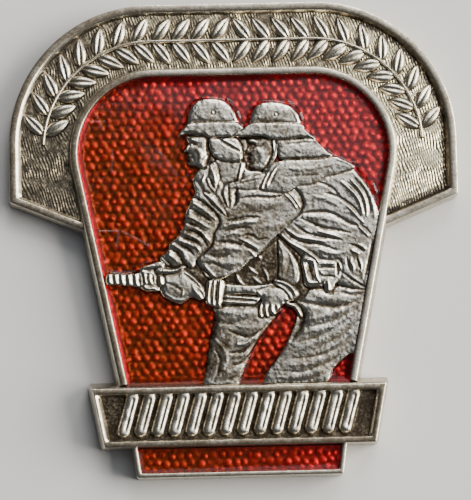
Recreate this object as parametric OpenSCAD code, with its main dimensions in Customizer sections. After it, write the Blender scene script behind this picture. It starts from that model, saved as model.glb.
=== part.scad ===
// Enamelled metal badge: an arched band behind a shield with two firefighters in relief,
// a raised bar across its foot and a small enamelled tag below. The badge lies on its back:
// +Z is up out of its face, +Y points to its top, and the origin is the centre of its box
// on the surface it lies on. Lengths are in millimetres.

/* [Band] */
// Width of the whole badge, across the band
band_w = 40; // [38:0.5:46]
// Height of the whole badge, from the tag's lower edge to the band's top
badge_h = 42.4; // [41:0.2:46]
// Radius of the band's two upper corners
band_r = 12.6; // [11:0.2:14]
// Height of the band's lower outer corners above the lower edge
band_side_y = 24.7; // [23:0.1:27]
// Slope of the band's lower edges, in degrees
band_slope = 22.5; // [15:0.5:28]
// Width of the rim along the band's edge
band_rim = 1.0; // [0.6:0.1:1.4]
// Height of that rim above the band's ground
band_rim_h = 0.5; // [0.3:0.05:0.7]

/* [Shield] */
// Greatest width of the shield, outside its rim
shield_w = 29.6; // [27:0.2:31]
// Height of the shield's top edge above the lower edge
shield_top_y = 36.7; // [35:0.1:37.5]
// Radius of the shield's upper corners
shield_r = 7.8; // [6.5:0.1:8.5]
// Angle by which each side of the shield leans in towards its foot, in degrees
shield_taper = 11.5; // [9:0.1:14]
// Width of the shield's rim
shield_rim = 0.8; // [0.5:0.05:1]
// Height of the shield's rim above the field
shield_rim_h = 0.8; // [0.6:0.05:1]

/* [Bar] */
// Width of the bar along its upper edge
bar_w = 26.8; // [25:0.2:30]
// Height of the bar, from its lower edge to its upper edge
bar_h = 5.9; // [5:0.1:6.5]
// Angle by which each end of the bar leans in towards its lower edge, in degrees
bar_taper = 11; // [8:1:18]
// Width of the bar's rim
bar_rim = 0.9; // [0.6:0.1:1.2]
// Height of the bar's rim above its ground
bar_rim_h = 0.7; // [0.5:0.05:0.9]

/* [Tag] */
// Width of the tag where it leaves the bar
tag_w = 19; // [16:0.2:22]
// Height of the tag below the bar
tag_h = 2.7; // [2.6:0.1:4]
// Angle by which each end of the tag leans in towards its lower edge, in degrees
tag_taper = 8; // [4:1:14]
// Width of the tag's rim
tag_rim = 0.6; // [0.4:0.05:0.8]
// Height of the tag's rim above its floor
tag_rim_h = 0.7; // [0.5:0.05:0.9]

/* [Thickness] */
// Depth of the hollow in the back
back_hollow = 1.3; // [1.2:0.05:1.6]
// Width of the wall around the hollow
back_wall = 1.1; // [0.8:0.1:1.6]
// Thickness of the metal under the band's ground
band_web = 0.7; // [0.6:0.05:1]
// Step from the band's ground up to the shield's field
shield_step = 0.15; // [0.1:0.05:0.3]
// Step from the shield's field up to the bar's ground
bar_step = 0.35; // [0.2:0.05:0.6]
// Step from the band's ground down to the tag's floor
tag_drop = 0.1; // [0:0.05:0.15]

/* [Relief] */
// Height of the figures' highest point above the field
relief_h = 1.1; // [0.8:0.05:1.3]
// Gap between the figures and the rim around the field
relief_gap = 0.15; // [0.05:0.05:0.2]
// Gap between the tip of the hose's nozzle and the rim
nozzle_gap = 0.3; // [0.2:0.05:0.6]
// Spacing of the points that the figures' surface is built from
relief_grid = 0.4; // [0.36:0.02:0.6]

/* [Enamel] */
// Depth of the enamel in the shield's field
enamel_h = 0.5; // [0.4:0.05:0.55]
// Depth of the enamel in the tag
tag_enamel_h = 0.5; // [0.3:0.05:0.5]
// Gap between the enamel and the metal beside it
enamel_gap = 0.05; // [0.03:0.01:0.1]

/* [Ornament] */
// Spacing of the pairs of leaves along the band
leaf_pitch = 1.75; // [1.6:0.05:2.4]
// Width of one leaf
leaf_w = 1.1; // [0.8:0.05:1.3]
// Angle of a leaf to its stem, in degrees
leaf_angle = 52; // [40:1:60]
// Width of the stem
stem_w = 0.35; // [0.25:0.05:0.5]
// Height of leaves and stem above the band's ground
leaf_h = 0.4; // [0.25:0.05:0.5]
// Height of the laurel's two ends above the lower edge
laurel_end_y = 30; // [30:0.5:34]
// Spacing of the strands along the bar
strand_pitch = 1.5; // [1.3:0.1:2]
// Radius of one strand
strand_r = 0.5; // [0.35:0.05:0.6]
// Lean of the strands from upright, in degrees
strand_lean = 16; // [0:1:25]

/* [Pin] */
// Diameter of the needle
needle_d = 0.8; // [0.6:0.05:0.9]
// Distance from the hinge block to the catch, centre to centre
pin_span = 20; // [16:0.5:22]
// Height of the middle of the pin above the lower edge
pin_y = 22; // [20:0.5:24]
// Width of the two blocks that carry the needle
pin_block_w = 3.2; // [2.4:0.1:4]
// Length of those blocks along the needle
pin_block_l = 2.6; // [2:0.1:3.4]
// Gap between the pin and the surface the badge lies on
pin_gap = 0.15; // [0.1:0.05:0.2]

/* [Hidden] */
$fn = 96;
metal = [0.62, 0.6, 0.54];
relief_metal = [0.72, 0.7, 0.64];
red = [0.62, 0.04, 0.04];
pin_metal = [0.5, 0.5, 0.5];
over = 1;

// Leaves end just under the stem's top, and reach this share of the band's ground on each side
leaf_step = 0.02;
leaf_spread = 0.44;
// Share of the bar's ground that a strand spans
strand_share = 0.9;
// Width of the wall around the tag's hollow, as a share of the wall elsewhere
tag_wall_share = 0.8;

// Levels above the surface that the badge lies on
band_z = back_hollow + band_web;
band_rim_z = band_z + band_rim_h;
field_z = band_z + shield_step;
shield_rim_z = field_z + shield_rim_h;
bar_z = field_z + bar_step;
bar_rim_z = bar_z + bar_rim_h;
tag_z = band_z - tag_drop;
tag_rim_z = tag_z + tag_rim_h;

// Places of the arcs and edges
band_cx = band_w / 2 - band_r;
band_cy = badge_h - band_r;
shield_cx = shield_w / 2 - shield_r;
shield_cy = shield_top_y - shield_r;
bar_y = tag_h;
bar_top_y = bar_y + bar_h;
shield_foot_y = bar_y + bar_h / 2;
tag_head_y = bar_y + bar_rim / 2;

// The laurel runs along the middle of the band
laurel_top_y = (badge_h - band_rim + shield_top_y) / 2;
laurel_side_x = (band_w / 2 - band_rim + shield_w / 2) / 2;
laurel_cx = (band_cx + shield_cx) / 2;
laurel_r = laurel_side_x - laurel_cx;
laurel_cy = laurel_top_y - laurel_r;
laurel_turn = 90 - asin((laurel_end_y - laurel_cy) / laurel_r);
laurel_len = laurel_cx + laurel_r * laurel_turn * PI / 180;
leaf_count = floor(laurel_len / leaf_pitch);
band_ground_w = min(badge_h - band_rim - shield_top_y, band_w / 2 - band_rim - shield_w / 2);
leaf_reach = leaf_spread * band_ground_w;
leaf_len = leaf_reach / sin(leaf_angle) + leaf_w / 4;

// The strands fill the bar's ground
bar_ground_h = bar_h - 2 * bar_rim;
bar_ground_w = bar_w - 2 * (bar_h / 2) * tan(bar_taper) - 2 * bar_rim;
strand_len = strand_share * bar_ground_h / cos(strand_lean);
strand_count = floor((bar_ground_w - strand_len * sin(strand_lean)) / strand_pitch);

// The figures are drawn in hundredths of fig_w and fig_h, from the shield's middle line and
// from the bar's upper edge. Their width follows from the nozzle, which ends short of the rim.
fig_share = 0.89;
fig_h = fig_share * (shield_top_y - bar_top_y);
nozzle_tip = [46.5, 39];
nozzle_y = bar_top_y + nozzle_tip.y * fig_h / 100;
field_half_w = shield_cx + (shield_r - shield_rim) / cos(shield_taper)
               - (shield_cy - nozzle_y) * tan(shield_taper);
fig_w = (field_half_w - nozzle_gap) * 100 / nozzle_tip.x;

// Outline of both figures with their hose: columns are x and y
FIGURES = [
    [-12, -4], [-11, 6], [-9.5, 14], [-8, 22], [-8, 25], [-11, 27], [-16.5, 29], [-20, 27],
    [-23, 27], [-26, 30], [-27, 32], [-33, 32], [-36, 34.5], [-46, 36],
    [-nozzle_tip.x, nozzle_tip.y], [-36, 39.5], [-31, 42], [-26, 44.5], [-23.5, 47.5],
    [-22.5, 50], [-19.5, 52.5],
    [-18, 56], [-17.5, 59], [-15.5, 63], [-14, 67], [-14.5, 71], [-13, 74.5], [-13.5, 76],
    [-15.5, 77], [-16, 79], [-16, 80.5], [-17.8, 81.5], [-16.4, 84.5], [-16.6, 86],
    [-19.5, 87], [-19, 88.5], [-16.5, 91], [-16, 94.5], [-14, 98], [-11.5, 99.8],
    [-7.5, 100.4], [-4, 99.8], [-1, 98], [1.2, 95], [2, 91.5], [4, 89.5], [5.6, 91],
    [6.6, 94.5], [9, 97.6], [12, 98.6], [17, 98.4], [21, 97], [23.4, 94.5], [24.2, 91],
    [26, 88], [29, 85], [32, 82], [35, 79.2], [37.5, 78], [42.5, 75.6], [45.5, 73],
    [49, 68.5], [50.6, 64.5], [52, 60], [52, 50], [50, 39], [48, 29], [46, 18],
    [43.5, 8.5], [41.5, 9], [36.5, 5.6], [33, 2.4], [30, -4], [9, -4], [10.5, 3], [14.5, 8.4],
    [17.6, 13.6], [20, 18.4], [20.8, 22.4], [18.8, 25.6], [16.4, 24.8], [12.4, 20.8],
    [9.6, 16.4], [6, 12], [3.6, 7.2], [1.6, 2.4], [0, -4]
];

// Broad forms of the figures: height in hundredths of the relief, width of the soft edge in
// hundredths of the figures, and the outline
PANEL_Z = 0;
PANEL_EDGE = 1;
PANEL_POINTS = 2;
PANELS = [
    // skirt of the right coat
    [62, 9, [[22, 33], [49, 33], [46, 20], [42, 7], [36, 5], [30, -5], [9, -5], [13, 6],
             [18, 14], [21, 20], [21, 27]]],
    // left leg
    [55, 7, [[-8, 26], [6, 28], [16, 26], [12, 20], [6, 12], [3.5, 6], [0, -5], [-12, -5],
             [-11, 6], [-9, 18]]],
    // left coat
    [70, 8, [[-13, 75], [-15, 67], [-18, 58], [-19, 53], [-24, 48], [-27, 43], [-18, 39],
             [-9, 35], [0, 38], [6, 42], [10, 47], [17, 52], [18, 56], [13, 66], [9, 69],
             [3, 71], [2, 76], [-6, 78]]],
    // right coat
    [84, 9, [[14, 76], [34, 78], [43, 76], [50, 69], [52, 60], [51, 49], [49, 38], [47, 29],
             [36, 28], [24, 31], [22, 40], [19, 48], [16, 52], [12, 57], [10, 67]]],
    // left helmet
    [80, 7, [[-16.5, 88], [-16, 94.5], [-14, 98.5], [-11, 100.2], [-7.5, 101], [-4, 100.2],
             [-0.5, 98], [1.5, 95], [2.4, 88]]],
    [92, 2, [[-20, 86.5], [-19, 88.5], [-16.5, 91.2], [2, 91.6], [4.2, 89.5], [3.6, 86],
             [-9, 86], [-11, 87.4], [-16, 87.6]]],
    // cloth at the left nape
    [84, 3, [[-9, 85.8], [0.5, 85.8], [3, 81.6], [3.2, 78], [1, 76.8], [-4, 77.4], [-8, 79.6],
             [-9, 83]]],
    // right helmet
    [88, 7, [[5.5, 88], [6.4, 94.5], [9, 98], [12, 99], [17, 99], [21, 97.4], [23.8, 94.5],
             [24.6, 88]]],
    [100, 2, [[0.4, 87], [4, 89.8], [5.5, 91], [24.4, 91], [26.4, 88], [29.2, 85], [18, 84.6],
              [13.5, 85], [11, 86], [2.4, 86]]],
    // cloth at the right nape and the cape below it
    [80, 2, [[15.5, 84], [28, 84.6], [35.4, 79.2], [33.6, 77.6], [17, 77.4]]],
    [94, 4, [[14, 76.4], [17, 77.4], [37.6, 78.2], [42.6, 75.4], [41, 72.6], [32, 71],
             [26.5, 69], [20, 67.5], [9.5, 67], [11.5, 73]]]
];

// Round forms: both ends with radius and height, all in hundredths as above
LIMB_X1 = 0;
LIMB_Y1 = 1;
LIMB_R1 = 2;
LIMB_Z1 = 3;
LIMB_X2 = 4;
LIMB_Y2 = 5;
LIMB_R2 = 6;
LIMB_Z2 = 7;
LIMBS = [
    // heads, noses and chins
    [-13, 84, 4.6, 70, -12.4, 79.6, 4.2, 68],
    [-16, 84.6, 1.4, 55, -17.2, 81.8, 1.4, 58],
    [-14.6, 78, 2, 62, -13, 77.2, 2.4, 62],
    [-9.5, 79, 4, 62, -8, 75, 4, 62],
    [10, 83.5, 5.2, 68, 9, 78.6, 4.6, 62],
    [4.9, 84, 1.4, 52, 4.2, 81.6, 1.4, 56],
    // neckcloth of the left figure
    [-8, 76, 2, 88, -5.6, 70.6, 2, 90],
    [-10, 71, 2.6, 86, -3.6, 59, 1.8, 88],
    [-3.6, 68.4, 2, 84, -2.8, 61, 1.6, 84],
    // forward sleeve and hand of the left figure
    [-9.6, 61, 7, 74, -17.6, 49, 6.4, 76],
    [-18, 49, 6, 76, -20, 41.4, 5, 74],
    [-23.4, 37, 4.6, 84, -17.4, 31.6, 4.6, 84],
    // cuff and sleeve on the hose
    [-15, 39.6, 3, 78, -8, 34.4, 3.4, 82],
    [-8.4, 34, 3, 84, -7, 27.6, 3, 80],
    // hose
    [-4.6, 31.4, 2.8, 78, 13, 31.6, 2.8, 78],
    [-4.6, 27.8, 1.8, 66, 8, 27.6, 1.8, 66],
    // forearm, cuff and hand of the right figure
    [17, 46, 3.4, 76, 18.8, 37, 3.2, 78],
    [14.6, 34.2, 2.6, 92, 21, 30.4, 2.6, 92],
    [11.6, 29.4, 4.4, 88, 18, 29.6, 4, 94]
];

// Folds raised on the coats: both ends, half width and height
FOLD_X1 = 0;
FOLD_Y1 = 1;
FOLD_X2 = 2;
FOLD_Y2 = 3;
FOLD_R = 4;
FOLD_Z = 5;
FOLDS = [
    [42, 72, 48, 58, 1.8, 16], [40, 68, 45, 56, 1.7, 15], [36, 67, 44, 55, 1.6, 13],
    [47, 51, 24, 58, 1.8, 12], [46, 46, 21, 56, 1.7, 12], [40, 45, 19, 53, 1.6, 12],
    [36, 43, 20, 50, 1.5, 10], [44, 54, 30, 61, 1.6, 10], [38, 60, 24, 64, 1.6, 9],
    [10, 62, 0, 58, 1.5, 10], [12, 57, -2, 54, 1.5, 10], [12, 52, -4, 49, 1.5, 10],
    [8, 47, -8, 45, 1.4, 9], [-18, 58, -8, 54, 1.5, 12], [-18, 54, -9, 50, 1.5, 12],
    [-22, 49, -12, 46, 1.5, 12], [-6, 20, 10, 22, 1.5, 9], [-9, 12, 6, 16, 1.5, 9],
    [-10, 4, 2, 9, 1.5, 9], [22, 26, 44, 28, 1.6, 10], [22, 20, 43, 24, 1.6, 10],
    [18, 12, 40, 18, 1.6, 10], [14, 5, 36, 12, 1.6, 10]
];

// Small raised parts: nozzle rings, fingers, cuff pleats and buckle, both ends, radius and top
PLEAT_X1 = 0;
PLEAT_Y1 = 1;
PLEAT_X2 = 2;
PLEAT_Y2 = 3;
PLEAT_R = 4;
PLEAT_Z = 5;
PLEATS = [
    [-44, 36.4, -44, 38.8, 1.2, 55], [-41, 36, -41, 39, 1.2, 60], [-38, 35.6, -38, 39, 1.3, 65],
    [-35, 35, -35, 39.2, 1.3, 70], [-32, 34, -32, 39.4, 1.4, 76], [-29, 33, -28.6, 39.6, 1.5, 84],
    [-10, 27.6, -9.6, 34.6, 0.8, 92], [-8, 27, -7.6, 34.6, 0.8, 92], [-6, 26.6, -5.4, 34.6, 0.8, 92],
    [8, 28, 8.4, 23.4, 1.2, 76], [10.8, 27.4, 11, 22.8, 1.2, 80], [13.6, 27, 13.6, 23.4, 1.2, 84],
    [24.4, 35, 24.4, 42, 0.7, 96], [29, 34, 29, 43, 0.7, 96], [24.4, 42, 29, 43, 0.7, 96],
    [24.4, 35, 29, 34, 0.7, 96]
];

// Regions that hold one enamel cell each
FIELD_CELL = [[-60, -10], [-5, -10], [-5, 27], [60, 27], [60, 120], [-60, 120]];
LEG_GAP_CELL = [[-2, -10], [24, -10], [24, 27], [-2, 27]];
CORNER_CELL = [[28, -10], [60, -10], [60, 12], [28, 12]];

module place() {
    translate([0, -badge_h / 2, 0])
        children();
}

// Two upper corners of radius r about (cx, cy) and (-cx, cy), with sides that lean in by
// the angle lean down to foot_y
module arch_outline(cx, cy, r, lean, foot_y) {
    touch = [cx + r * cos(lean), cy - r * sin(lean)];
    foot_x = cx + r / cos(lean) - (cy - foot_y) * tan(lean);
    for (side = [-1, 1])
        translate([side * cx, cy])
            circle(r);
    polygon([[-cx, cy + r], [cx, cy + r], touch, [foot_x, foot_y], [-foot_x, foot_y],
             [-touch.x, touch.y]]);
}

module band_outline(inset) {
    half = band_w / 2;
    rise = half * tan(band_slope);
    low = band_side_y - rise + inset / cos(band_slope);
    intersection() {
        arch_outline(band_cx, band_cy, band_r - inset, 0, 0);
        polygon([[0, low], [band_w, low + 2 * rise], [band_w, 2 * badge_h],
                 [-band_w, 2 * badge_h], [-band_w, low + 2 * rise]]);
    }
}

module shield_outline(inset) {
    arch_outline(shield_cx, shield_cy, shield_r - inset, shield_taper, shield_foot_y);
}

// Upright outline whose ends lean in towards its lower edge, inset all round
module trapezium(w, low, high, lean, inset) {
    slip = inset / cos(lean);
    top_x = w / 2 - slip - inset * tan(lean);
    foot_x = w / 2 - slip - (high - low - inset) * tan(lean);
    polygon([[-top_x, high - inset], [top_x, high - inset], [foot_x, low + inset],
             [-foot_x, low + inset]]);
}

module bar_outline(inset) {
    trapezium(bar_w, bar_y, bar_top_y, bar_taper, inset);
}

module tag_outline(inset) {
    trapezium(tag_w + 2 * (tag_head_y - bar_y) * tan(tag_taper), 0, tag_head_y, tag_taper, inset);
}

// The tag's cell ends at the bar's lower edge
module tag_cell(inset) {
    intersection() {
        tag_outline(tag_rim + inset);
        translate([-tag_w, 0])
            square([2 * tag_w, bar_y - inset]);
    }
}

// Point and direction at a length along the laurel's middle line, from the top centre
function laurel_point(s) =
    s < laurel_cx
        ? [s, laurel_top_y]
        : let (turn = (s - laurel_cx) / laurel_r * 180 / PI)
          [laurel_cx + laurel_r * sin(turn), laurel_cy + laurel_r * cos(turn)];

function laurel_heading(s) =
    s < laurel_cx ? 180 : 180 - (s - laurel_cx) / laurel_r * 180 / PI;

module leaf_outline() {
    r = (leaf_len * leaf_len + leaf_w * leaf_w) / (4 * leaf_w);
    intersection() {
        translate([leaf_len / 2, r - leaf_w / 2])
            circle(r);
        translate([leaf_len / 2, leaf_w / 2 - r])
            circle(r);
    }
}

module leaf_pair(s) {
    at = laurel_point(s);
    translate(at)
        rotate(laurel_heading(s))
            for (side = [-1, 1])
                rotate(side * leaf_angle)
                    leaf_outline();
}

module stem_outline() {
    intersection() {
        difference() {
            arch_outline(laurel_cx, laurel_cy, laurel_r + stem_w / 2, 0, 0);
            arch_outline(laurel_cx, laurel_cy, laurel_r - stem_w / 2, 0, -over);
        }
        translate([-band_w, laurel_end_y])
            square([2 * band_w, badge_h]);
    }
}

module laurel() {
    linear_extrude(band_z + leaf_h)
        stem_outline();
    for (side = [0, 1])
        mirror([side, 0, 0])
            for (i = [1 : leaf_count])
                linear_extrude(band_z + leaf_h - leaf_step)
                    leaf_pair(i * leaf_pitch);
}

// A round strand lying in the ground, with domed ends
module strand() {
    rotate([90, 0, 0])
        cylinder(h = strand_len - 2 * strand_r, r = strand_r, center = true);
    for (side = [-1, 1])
        translate([0, side * (strand_len / 2 - strand_r), 0])
            sphere(strand_r);
}

module strands() {
    for (i = [0 : strand_count - 1])
        translate([(i - (strand_count - 1) / 2) * strand_pitch, (bar_y + bar_top_y) / 2, bar_z])
            rotate(-strand_lean)
                strand();
}

module hollow_outline() {
    band_outline(back_wall);
    shield_outline(back_wall);
    bar_outline(back_wall);
    tag_outline(back_wall * tag_wall_share);
}

// Plate with a ground sunk between its rims
module band() {
    difference() {
        linear_extrude(band_rim_z)
            band_outline(0);
        translate([0, 0, band_z])
            linear_extrude(over + band_rim_h)
                band_outline(band_rim);
    }
}

module tag() {
    difference() {
        linear_extrude(tag_rim_z)
            tag_outline(0);
        translate([0, 0, tag_z])
            linear_extrude(over + tag_rim_h)
                tag_cell(0);
    }
}

// Band and laurel behind the shield, whose field is sunk through them
module band_and_shield() {
    difference() {
        union() {
            band();
            laurel();
            linear_extrude(shield_rim_z)
                shield_outline(0);
        }
        translate([0, 0, field_z])
            linear_extrude(over + shield_rim_h)
                shield_outline(shield_rim);
    }
}

module badge_body() {
    color(metal)
        place()
            difference() {
                union() {
                    difference() {
                        union() {
                            band_and_shield();
                            linear_extrude(bar_rim_z)
                                bar_outline(0);
                        }
                        translate([0, 0, bar_z])
                            linear_extrude(over + bar_rim_h)
                                bar_outline(bar_rim);
                    }
                    tag();
                    strands();
                }
                translate([0, 0, -over])
                    linear_extrude(over + back_hollow)
                        hollow_outline();
            }
}

function scaled(points) = [for (p = points) [p.x * fig_w / 100, bar_top_y + p.y * fig_h / 100]];

function clamp01(t) = max(0, min(1, t));

function gap_to_edge(p, a, b) =
    let (ab = b - a, t = clamp01((p - a) * ab / (ab * ab)))
    norm(p - a - t * ab);

function crosses(p, a, b) =
    (a.y > p.y) != (b.y > p.y) && p.x < a.x + (b.x - a.x) * (p.y - a.y) / (b.y - a.y) ? 1 : 0;

function total(list) = list * [for (n = list) 1];

// How far a point lies inside an outline, negative outside
function depth_inside(p, points) =
    let (n = len(points),
         gap = min([for (i = [0 : n - 1]) gap_to_edge(p, points[i], points[(i + 1) % n])]),
         hits = total([for (i = [0 : n - 1]) crosses(p, points[i], points[(i + 1) % n])]))
    hits % 2 == 1 ? gap : -gap;

// Quarter-round edge: rises steeply at 0 and levels off at 1
function soft(u) = u <= 0 ? u : u >= 1 ? 1 : sqrt(u * (2 - u));

function panel_z(row, points, p) =
    row[PANEL_Z] * soft(depth_inside(p, points) / (row[PANEL_EDGE] * fig_w / 100));

function along(p, a, b) = clamp01((p - a) * (b - a) / ((b - a) * (b - a)));

function limb_z(row, p) =
    let (ends = scaled([[row[LIMB_X1], row[LIMB_Y1]], [row[LIMB_X2], row[LIMB_Y2]]]),
         t = along(p, ends[0], ends[1]),
         q = norm(p - ends[0] - t * (ends[1] - ends[0])),
         r = (row[LIMB_R1] + t * (row[LIMB_R2] - row[LIMB_R1])) * fig_w / 100,
         z = row[LIMB_Z1] + t * (row[LIMB_Z2] - row[LIMB_Z1]))
    z * (1 - pow(q / r, 2) / 2) * (q < r ? 1 : 0);

function fold_z(row, p) =
    let (ends = scaled([[row[FOLD_X1], row[FOLD_Y1]], [row[FOLD_X2], row[FOLD_Y2]]]),
         t = along(p, ends[0], ends[1]),
         q = norm(p - ends[0] - t * (ends[1] - ends[0])) / (row[FOLD_R] * fig_w / 100))
    q < 1 ? row[FOLD_Z] * (1 - q * q) : 0;

// Lowest height of the figures, and how far folds lift them over their broad forms
relief_least = 40;
fold_sink = 8;

// Height of the figures over the field at a point, in hundredths of the relief
function relief_z(p, outlines) =
    let (broad = [for (i = [0 : len(PANELS) - 1]) panel_z(PANELS[i], outlines[i], p)],
         round_forms = [for (row = LIMBS) limb_z(row, p)],
         folds = [for (row = FOLDS) fold_z(row, p)],
         body = max(relief_least, max(broad), max(round_forms)))
    min(100, body - fold_sink + max(folds));

// Block under the relief's surface, over the whole field
module relief_block() {
    half = shield_w / 2;
    nx = ceil(shield_w / relief_grid);
    ny = ceil((shield_top_y - shield_foot_y) / relief_grid);
    outlines = [for (row = PANELS) scaled(row[PANEL_POINTS])];
    xs = [for (i = [0 : nx]) -half + shield_w * i / nx];
    ys = [for (j = [0 : ny]) shield_foot_y + (shield_top_y - shield_foot_y) * j / ny];
    top = [for (y = ys) for (x = xs) [x, y, relief_h * relief_z([x, y], outlines) / 100]];
    base = [for (y = ys) for (x = xs) [x, y, 0]];
    n = (nx + 1) * (ny + 1);
    row = nx + 1;
    polyhedron(
        points = concat(top, base),
        faces = concat(
            [for (j = [0 : ny - 1]) for (i = [0 : nx - 1])
                for (f = [[0, row, row + 1], [0, row + 1, 1]]) [for (k = f) j * row + i + k]],
            [for (j = [0 : ny - 1]) for (i = [0 : nx - 1])
                for (f = [[0, row + 1, row], [0, 1, row + 1]]) [for (k = f) n + j * row + i + k]],
            [for (i = [0 : nx - 1]) [i, i + 1, n + i + 1, n + i]],
            [for (i = [0 : nx - 1]) let (k = ny * row + i) [k + 1, k, n + k, n + k + 1]],
            [for (j = [0 : ny - 1]) let (k = j * row) [k + row, k, n + k, n + k + row]],
            [for (j = [0 : ny - 1]) let (k = j * row + nx) [k, k + row, n + k + row, n + k]]
        )
    );
}

// Flattened rounded bar between two points, standing up from the field
module pleat(row) {
    ends = scaled([[row[PLEAT_X1], row[PLEAT_Y1]], [row[PLEAT_X2], row[PLEAT_Y2]]]);
    r = row[PLEAT_R] * fig_w / 100;
    top = relief_h * row[PLEAT_Z] / 100;
    hull()
        for (p = ends)
            translate([p.x, p.y, 0])
                scale([r, r, top])
                    sphere(1, $fn = 10);
}

module field_outline(inset) {
    intersection() {
        shield_outline(shield_rim + inset);
        translate([-shield_w, bar_top_y + inset])
            square([2 * shield_w, badge_h]);
    }
}

module figures_outline() {
    intersection() {
        polygon(scaled(FIGURES));
        field_outline(relief_gap);
    }
}

module firefighters() {
    color(relief_metal)
        place()
            translate([0, 0, field_z])
                intersection() {
                    linear_extrude(relief_h)
                        figures_outline();
                    union() {
                        relief_block();
                        for (row = PLEATS)
                            pleat(row);
                    }
                }
}

// One cell of the field: what the figures leave free within the region around it
module enamel_cell(region) {
    color(red)
        place()
            translate([0, 0, field_z])
                linear_extrude(enamel_h)
                    offset(delta = -enamel_gap)
                        difference() {
                            intersection() {
                                field_outline(0);
                                polygon(scaled(region));
                            }
                            polygon(scaled(FIGURES));
                        }
}

module enamel_field() {
    enamel_cell(FIELD_CELL);
}

module enamel_leg_gap() {
    enamel_cell(LEG_GAP_CELL);
}

module enamel_corner() {
    enamel_cell(CORNER_CELL);
}

module enamel_tag() {
    color(red)
        place()
            translate([0, 0, tag_z])
                linear_extrude(tag_enamel_h)
                    tag_cell(enamel_gap);
}

module back_pin() {
    needle_z = (pin_gap + back_hollow) / 2;
    color(pin_metal)
        place()
            union() {
                translate([0, pin_y, needle_z])
                    rotate([90, 0, 0])
                        cylinder(h = pin_span, d = needle_d, center = true);
                for (side = [-1, 1])
                    translate([-pin_block_w / 2, pin_y + side * pin_span / 2 - pin_block_l / 2, pin_gap])
                        cube([pin_block_w, pin_block_l, back_hollow - pin_gap]);
            }
}

badge_body();
firefighters();
enamel_field();
enamel_leg_gap();
enamel_corner();
enamel_tag();
back_pin();
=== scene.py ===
"""Looks of the firefighter badge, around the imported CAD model.

The badge lies on its back: +Z is up out of its face and +Y points to its top. Sizes here are in
millimetres, x from the middle line and y up from the badge's lower edge; MM takes them to metres.
"""
import math

import bpy
import numpy as np
from mathutils import Matrix, Vector


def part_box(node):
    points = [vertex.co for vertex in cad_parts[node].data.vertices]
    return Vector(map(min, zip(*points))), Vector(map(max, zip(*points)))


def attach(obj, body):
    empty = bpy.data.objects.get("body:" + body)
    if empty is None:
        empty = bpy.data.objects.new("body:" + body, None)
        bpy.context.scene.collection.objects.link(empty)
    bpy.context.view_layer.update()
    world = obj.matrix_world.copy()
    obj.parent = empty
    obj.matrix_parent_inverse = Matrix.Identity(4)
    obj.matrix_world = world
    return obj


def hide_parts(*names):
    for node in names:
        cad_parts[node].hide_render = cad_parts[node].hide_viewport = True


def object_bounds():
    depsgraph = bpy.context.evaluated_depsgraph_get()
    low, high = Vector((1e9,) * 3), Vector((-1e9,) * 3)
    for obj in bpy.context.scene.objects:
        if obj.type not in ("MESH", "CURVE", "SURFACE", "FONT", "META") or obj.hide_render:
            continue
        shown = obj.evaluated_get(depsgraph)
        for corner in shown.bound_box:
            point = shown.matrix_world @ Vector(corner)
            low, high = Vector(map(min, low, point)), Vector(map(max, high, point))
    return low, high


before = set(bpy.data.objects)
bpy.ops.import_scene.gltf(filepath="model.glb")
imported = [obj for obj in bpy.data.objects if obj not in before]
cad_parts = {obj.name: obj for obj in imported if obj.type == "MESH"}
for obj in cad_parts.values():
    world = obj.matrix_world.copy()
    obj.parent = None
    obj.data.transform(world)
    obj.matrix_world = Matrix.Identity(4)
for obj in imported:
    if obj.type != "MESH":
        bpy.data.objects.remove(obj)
CAD_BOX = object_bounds()

MM = 0.001
BADGE_W = (CAD_BOX[1].x - CAD_BOX[0].x) / MM
BADGE_H = (CAD_BOX[1].y - CAD_BOX[0].y) / MM
BADGE_TOP_Z = CAD_BOX[1].z / MM

# Driving sizes of the CAD source
BAND_R = 12.6
BAND_SIDE_Y = 24.7
BAND_SLOPE = math.radians(22.5)
BAND_RIM_W = 1.0
SHIELD_W = 29.6
SHIELD_TOP_Y = 36.7
SHIELD_R = 7.8
SHIELD_TAPER = math.radians(11.5)
BAR_W = 26.8
BAR_Y = 2.7
BAR_TOP_Y = 8.6
BAR_TAPER = math.radians(11)
TAG_W = 19.0
TAG_HEAD_Y = 3.15
TAG_TAPER = math.radians(8)
BACK_HOLLOW = 1.3
BACK_WALL = 1.1

# Levels above the surface that the badge lies on
BAND_Z = 2.0
BAND_RIM_Z = 2.5
FIELD_Z = 2.15
SHIELD_RIM_Z = 2.95
BAR_Z = 2.5
BAR_RIM_Z = 3.2
TAG_Z = 1.9
TAG_RIM_Z = 2.6
ENAMEL_Z = 2.6
TAG_ENAMEL_Z = 2.35
HIDDEN_Z = 1.6

# Edge of the field: inside the shield's rim, and below the foot of the bar's upper slope
FIELD_INSET = 1.0
FIELD_FOOT_Y = BAR_TOP_Y - 0.62

# Places that another piece covers: the figures and the glass reach a little under the shield's
# rim, that rim ends in the bar's upper slope, and the shield's plate and the band run on below
FILL_INSET = FIELD_INSET - 0.04
SHIELD_RIM_FOOT_Y = BAR_TOP_Y - 0.45
SHIELD_PLATE_FOOT_Y = BAR_Y + 2
BAND_FOOT_X = 13.0

# How far the band's ground lies below its level; leaves and stem start there too
GROUND_SINK = 0.03


# Numbers that repeat each run

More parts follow.
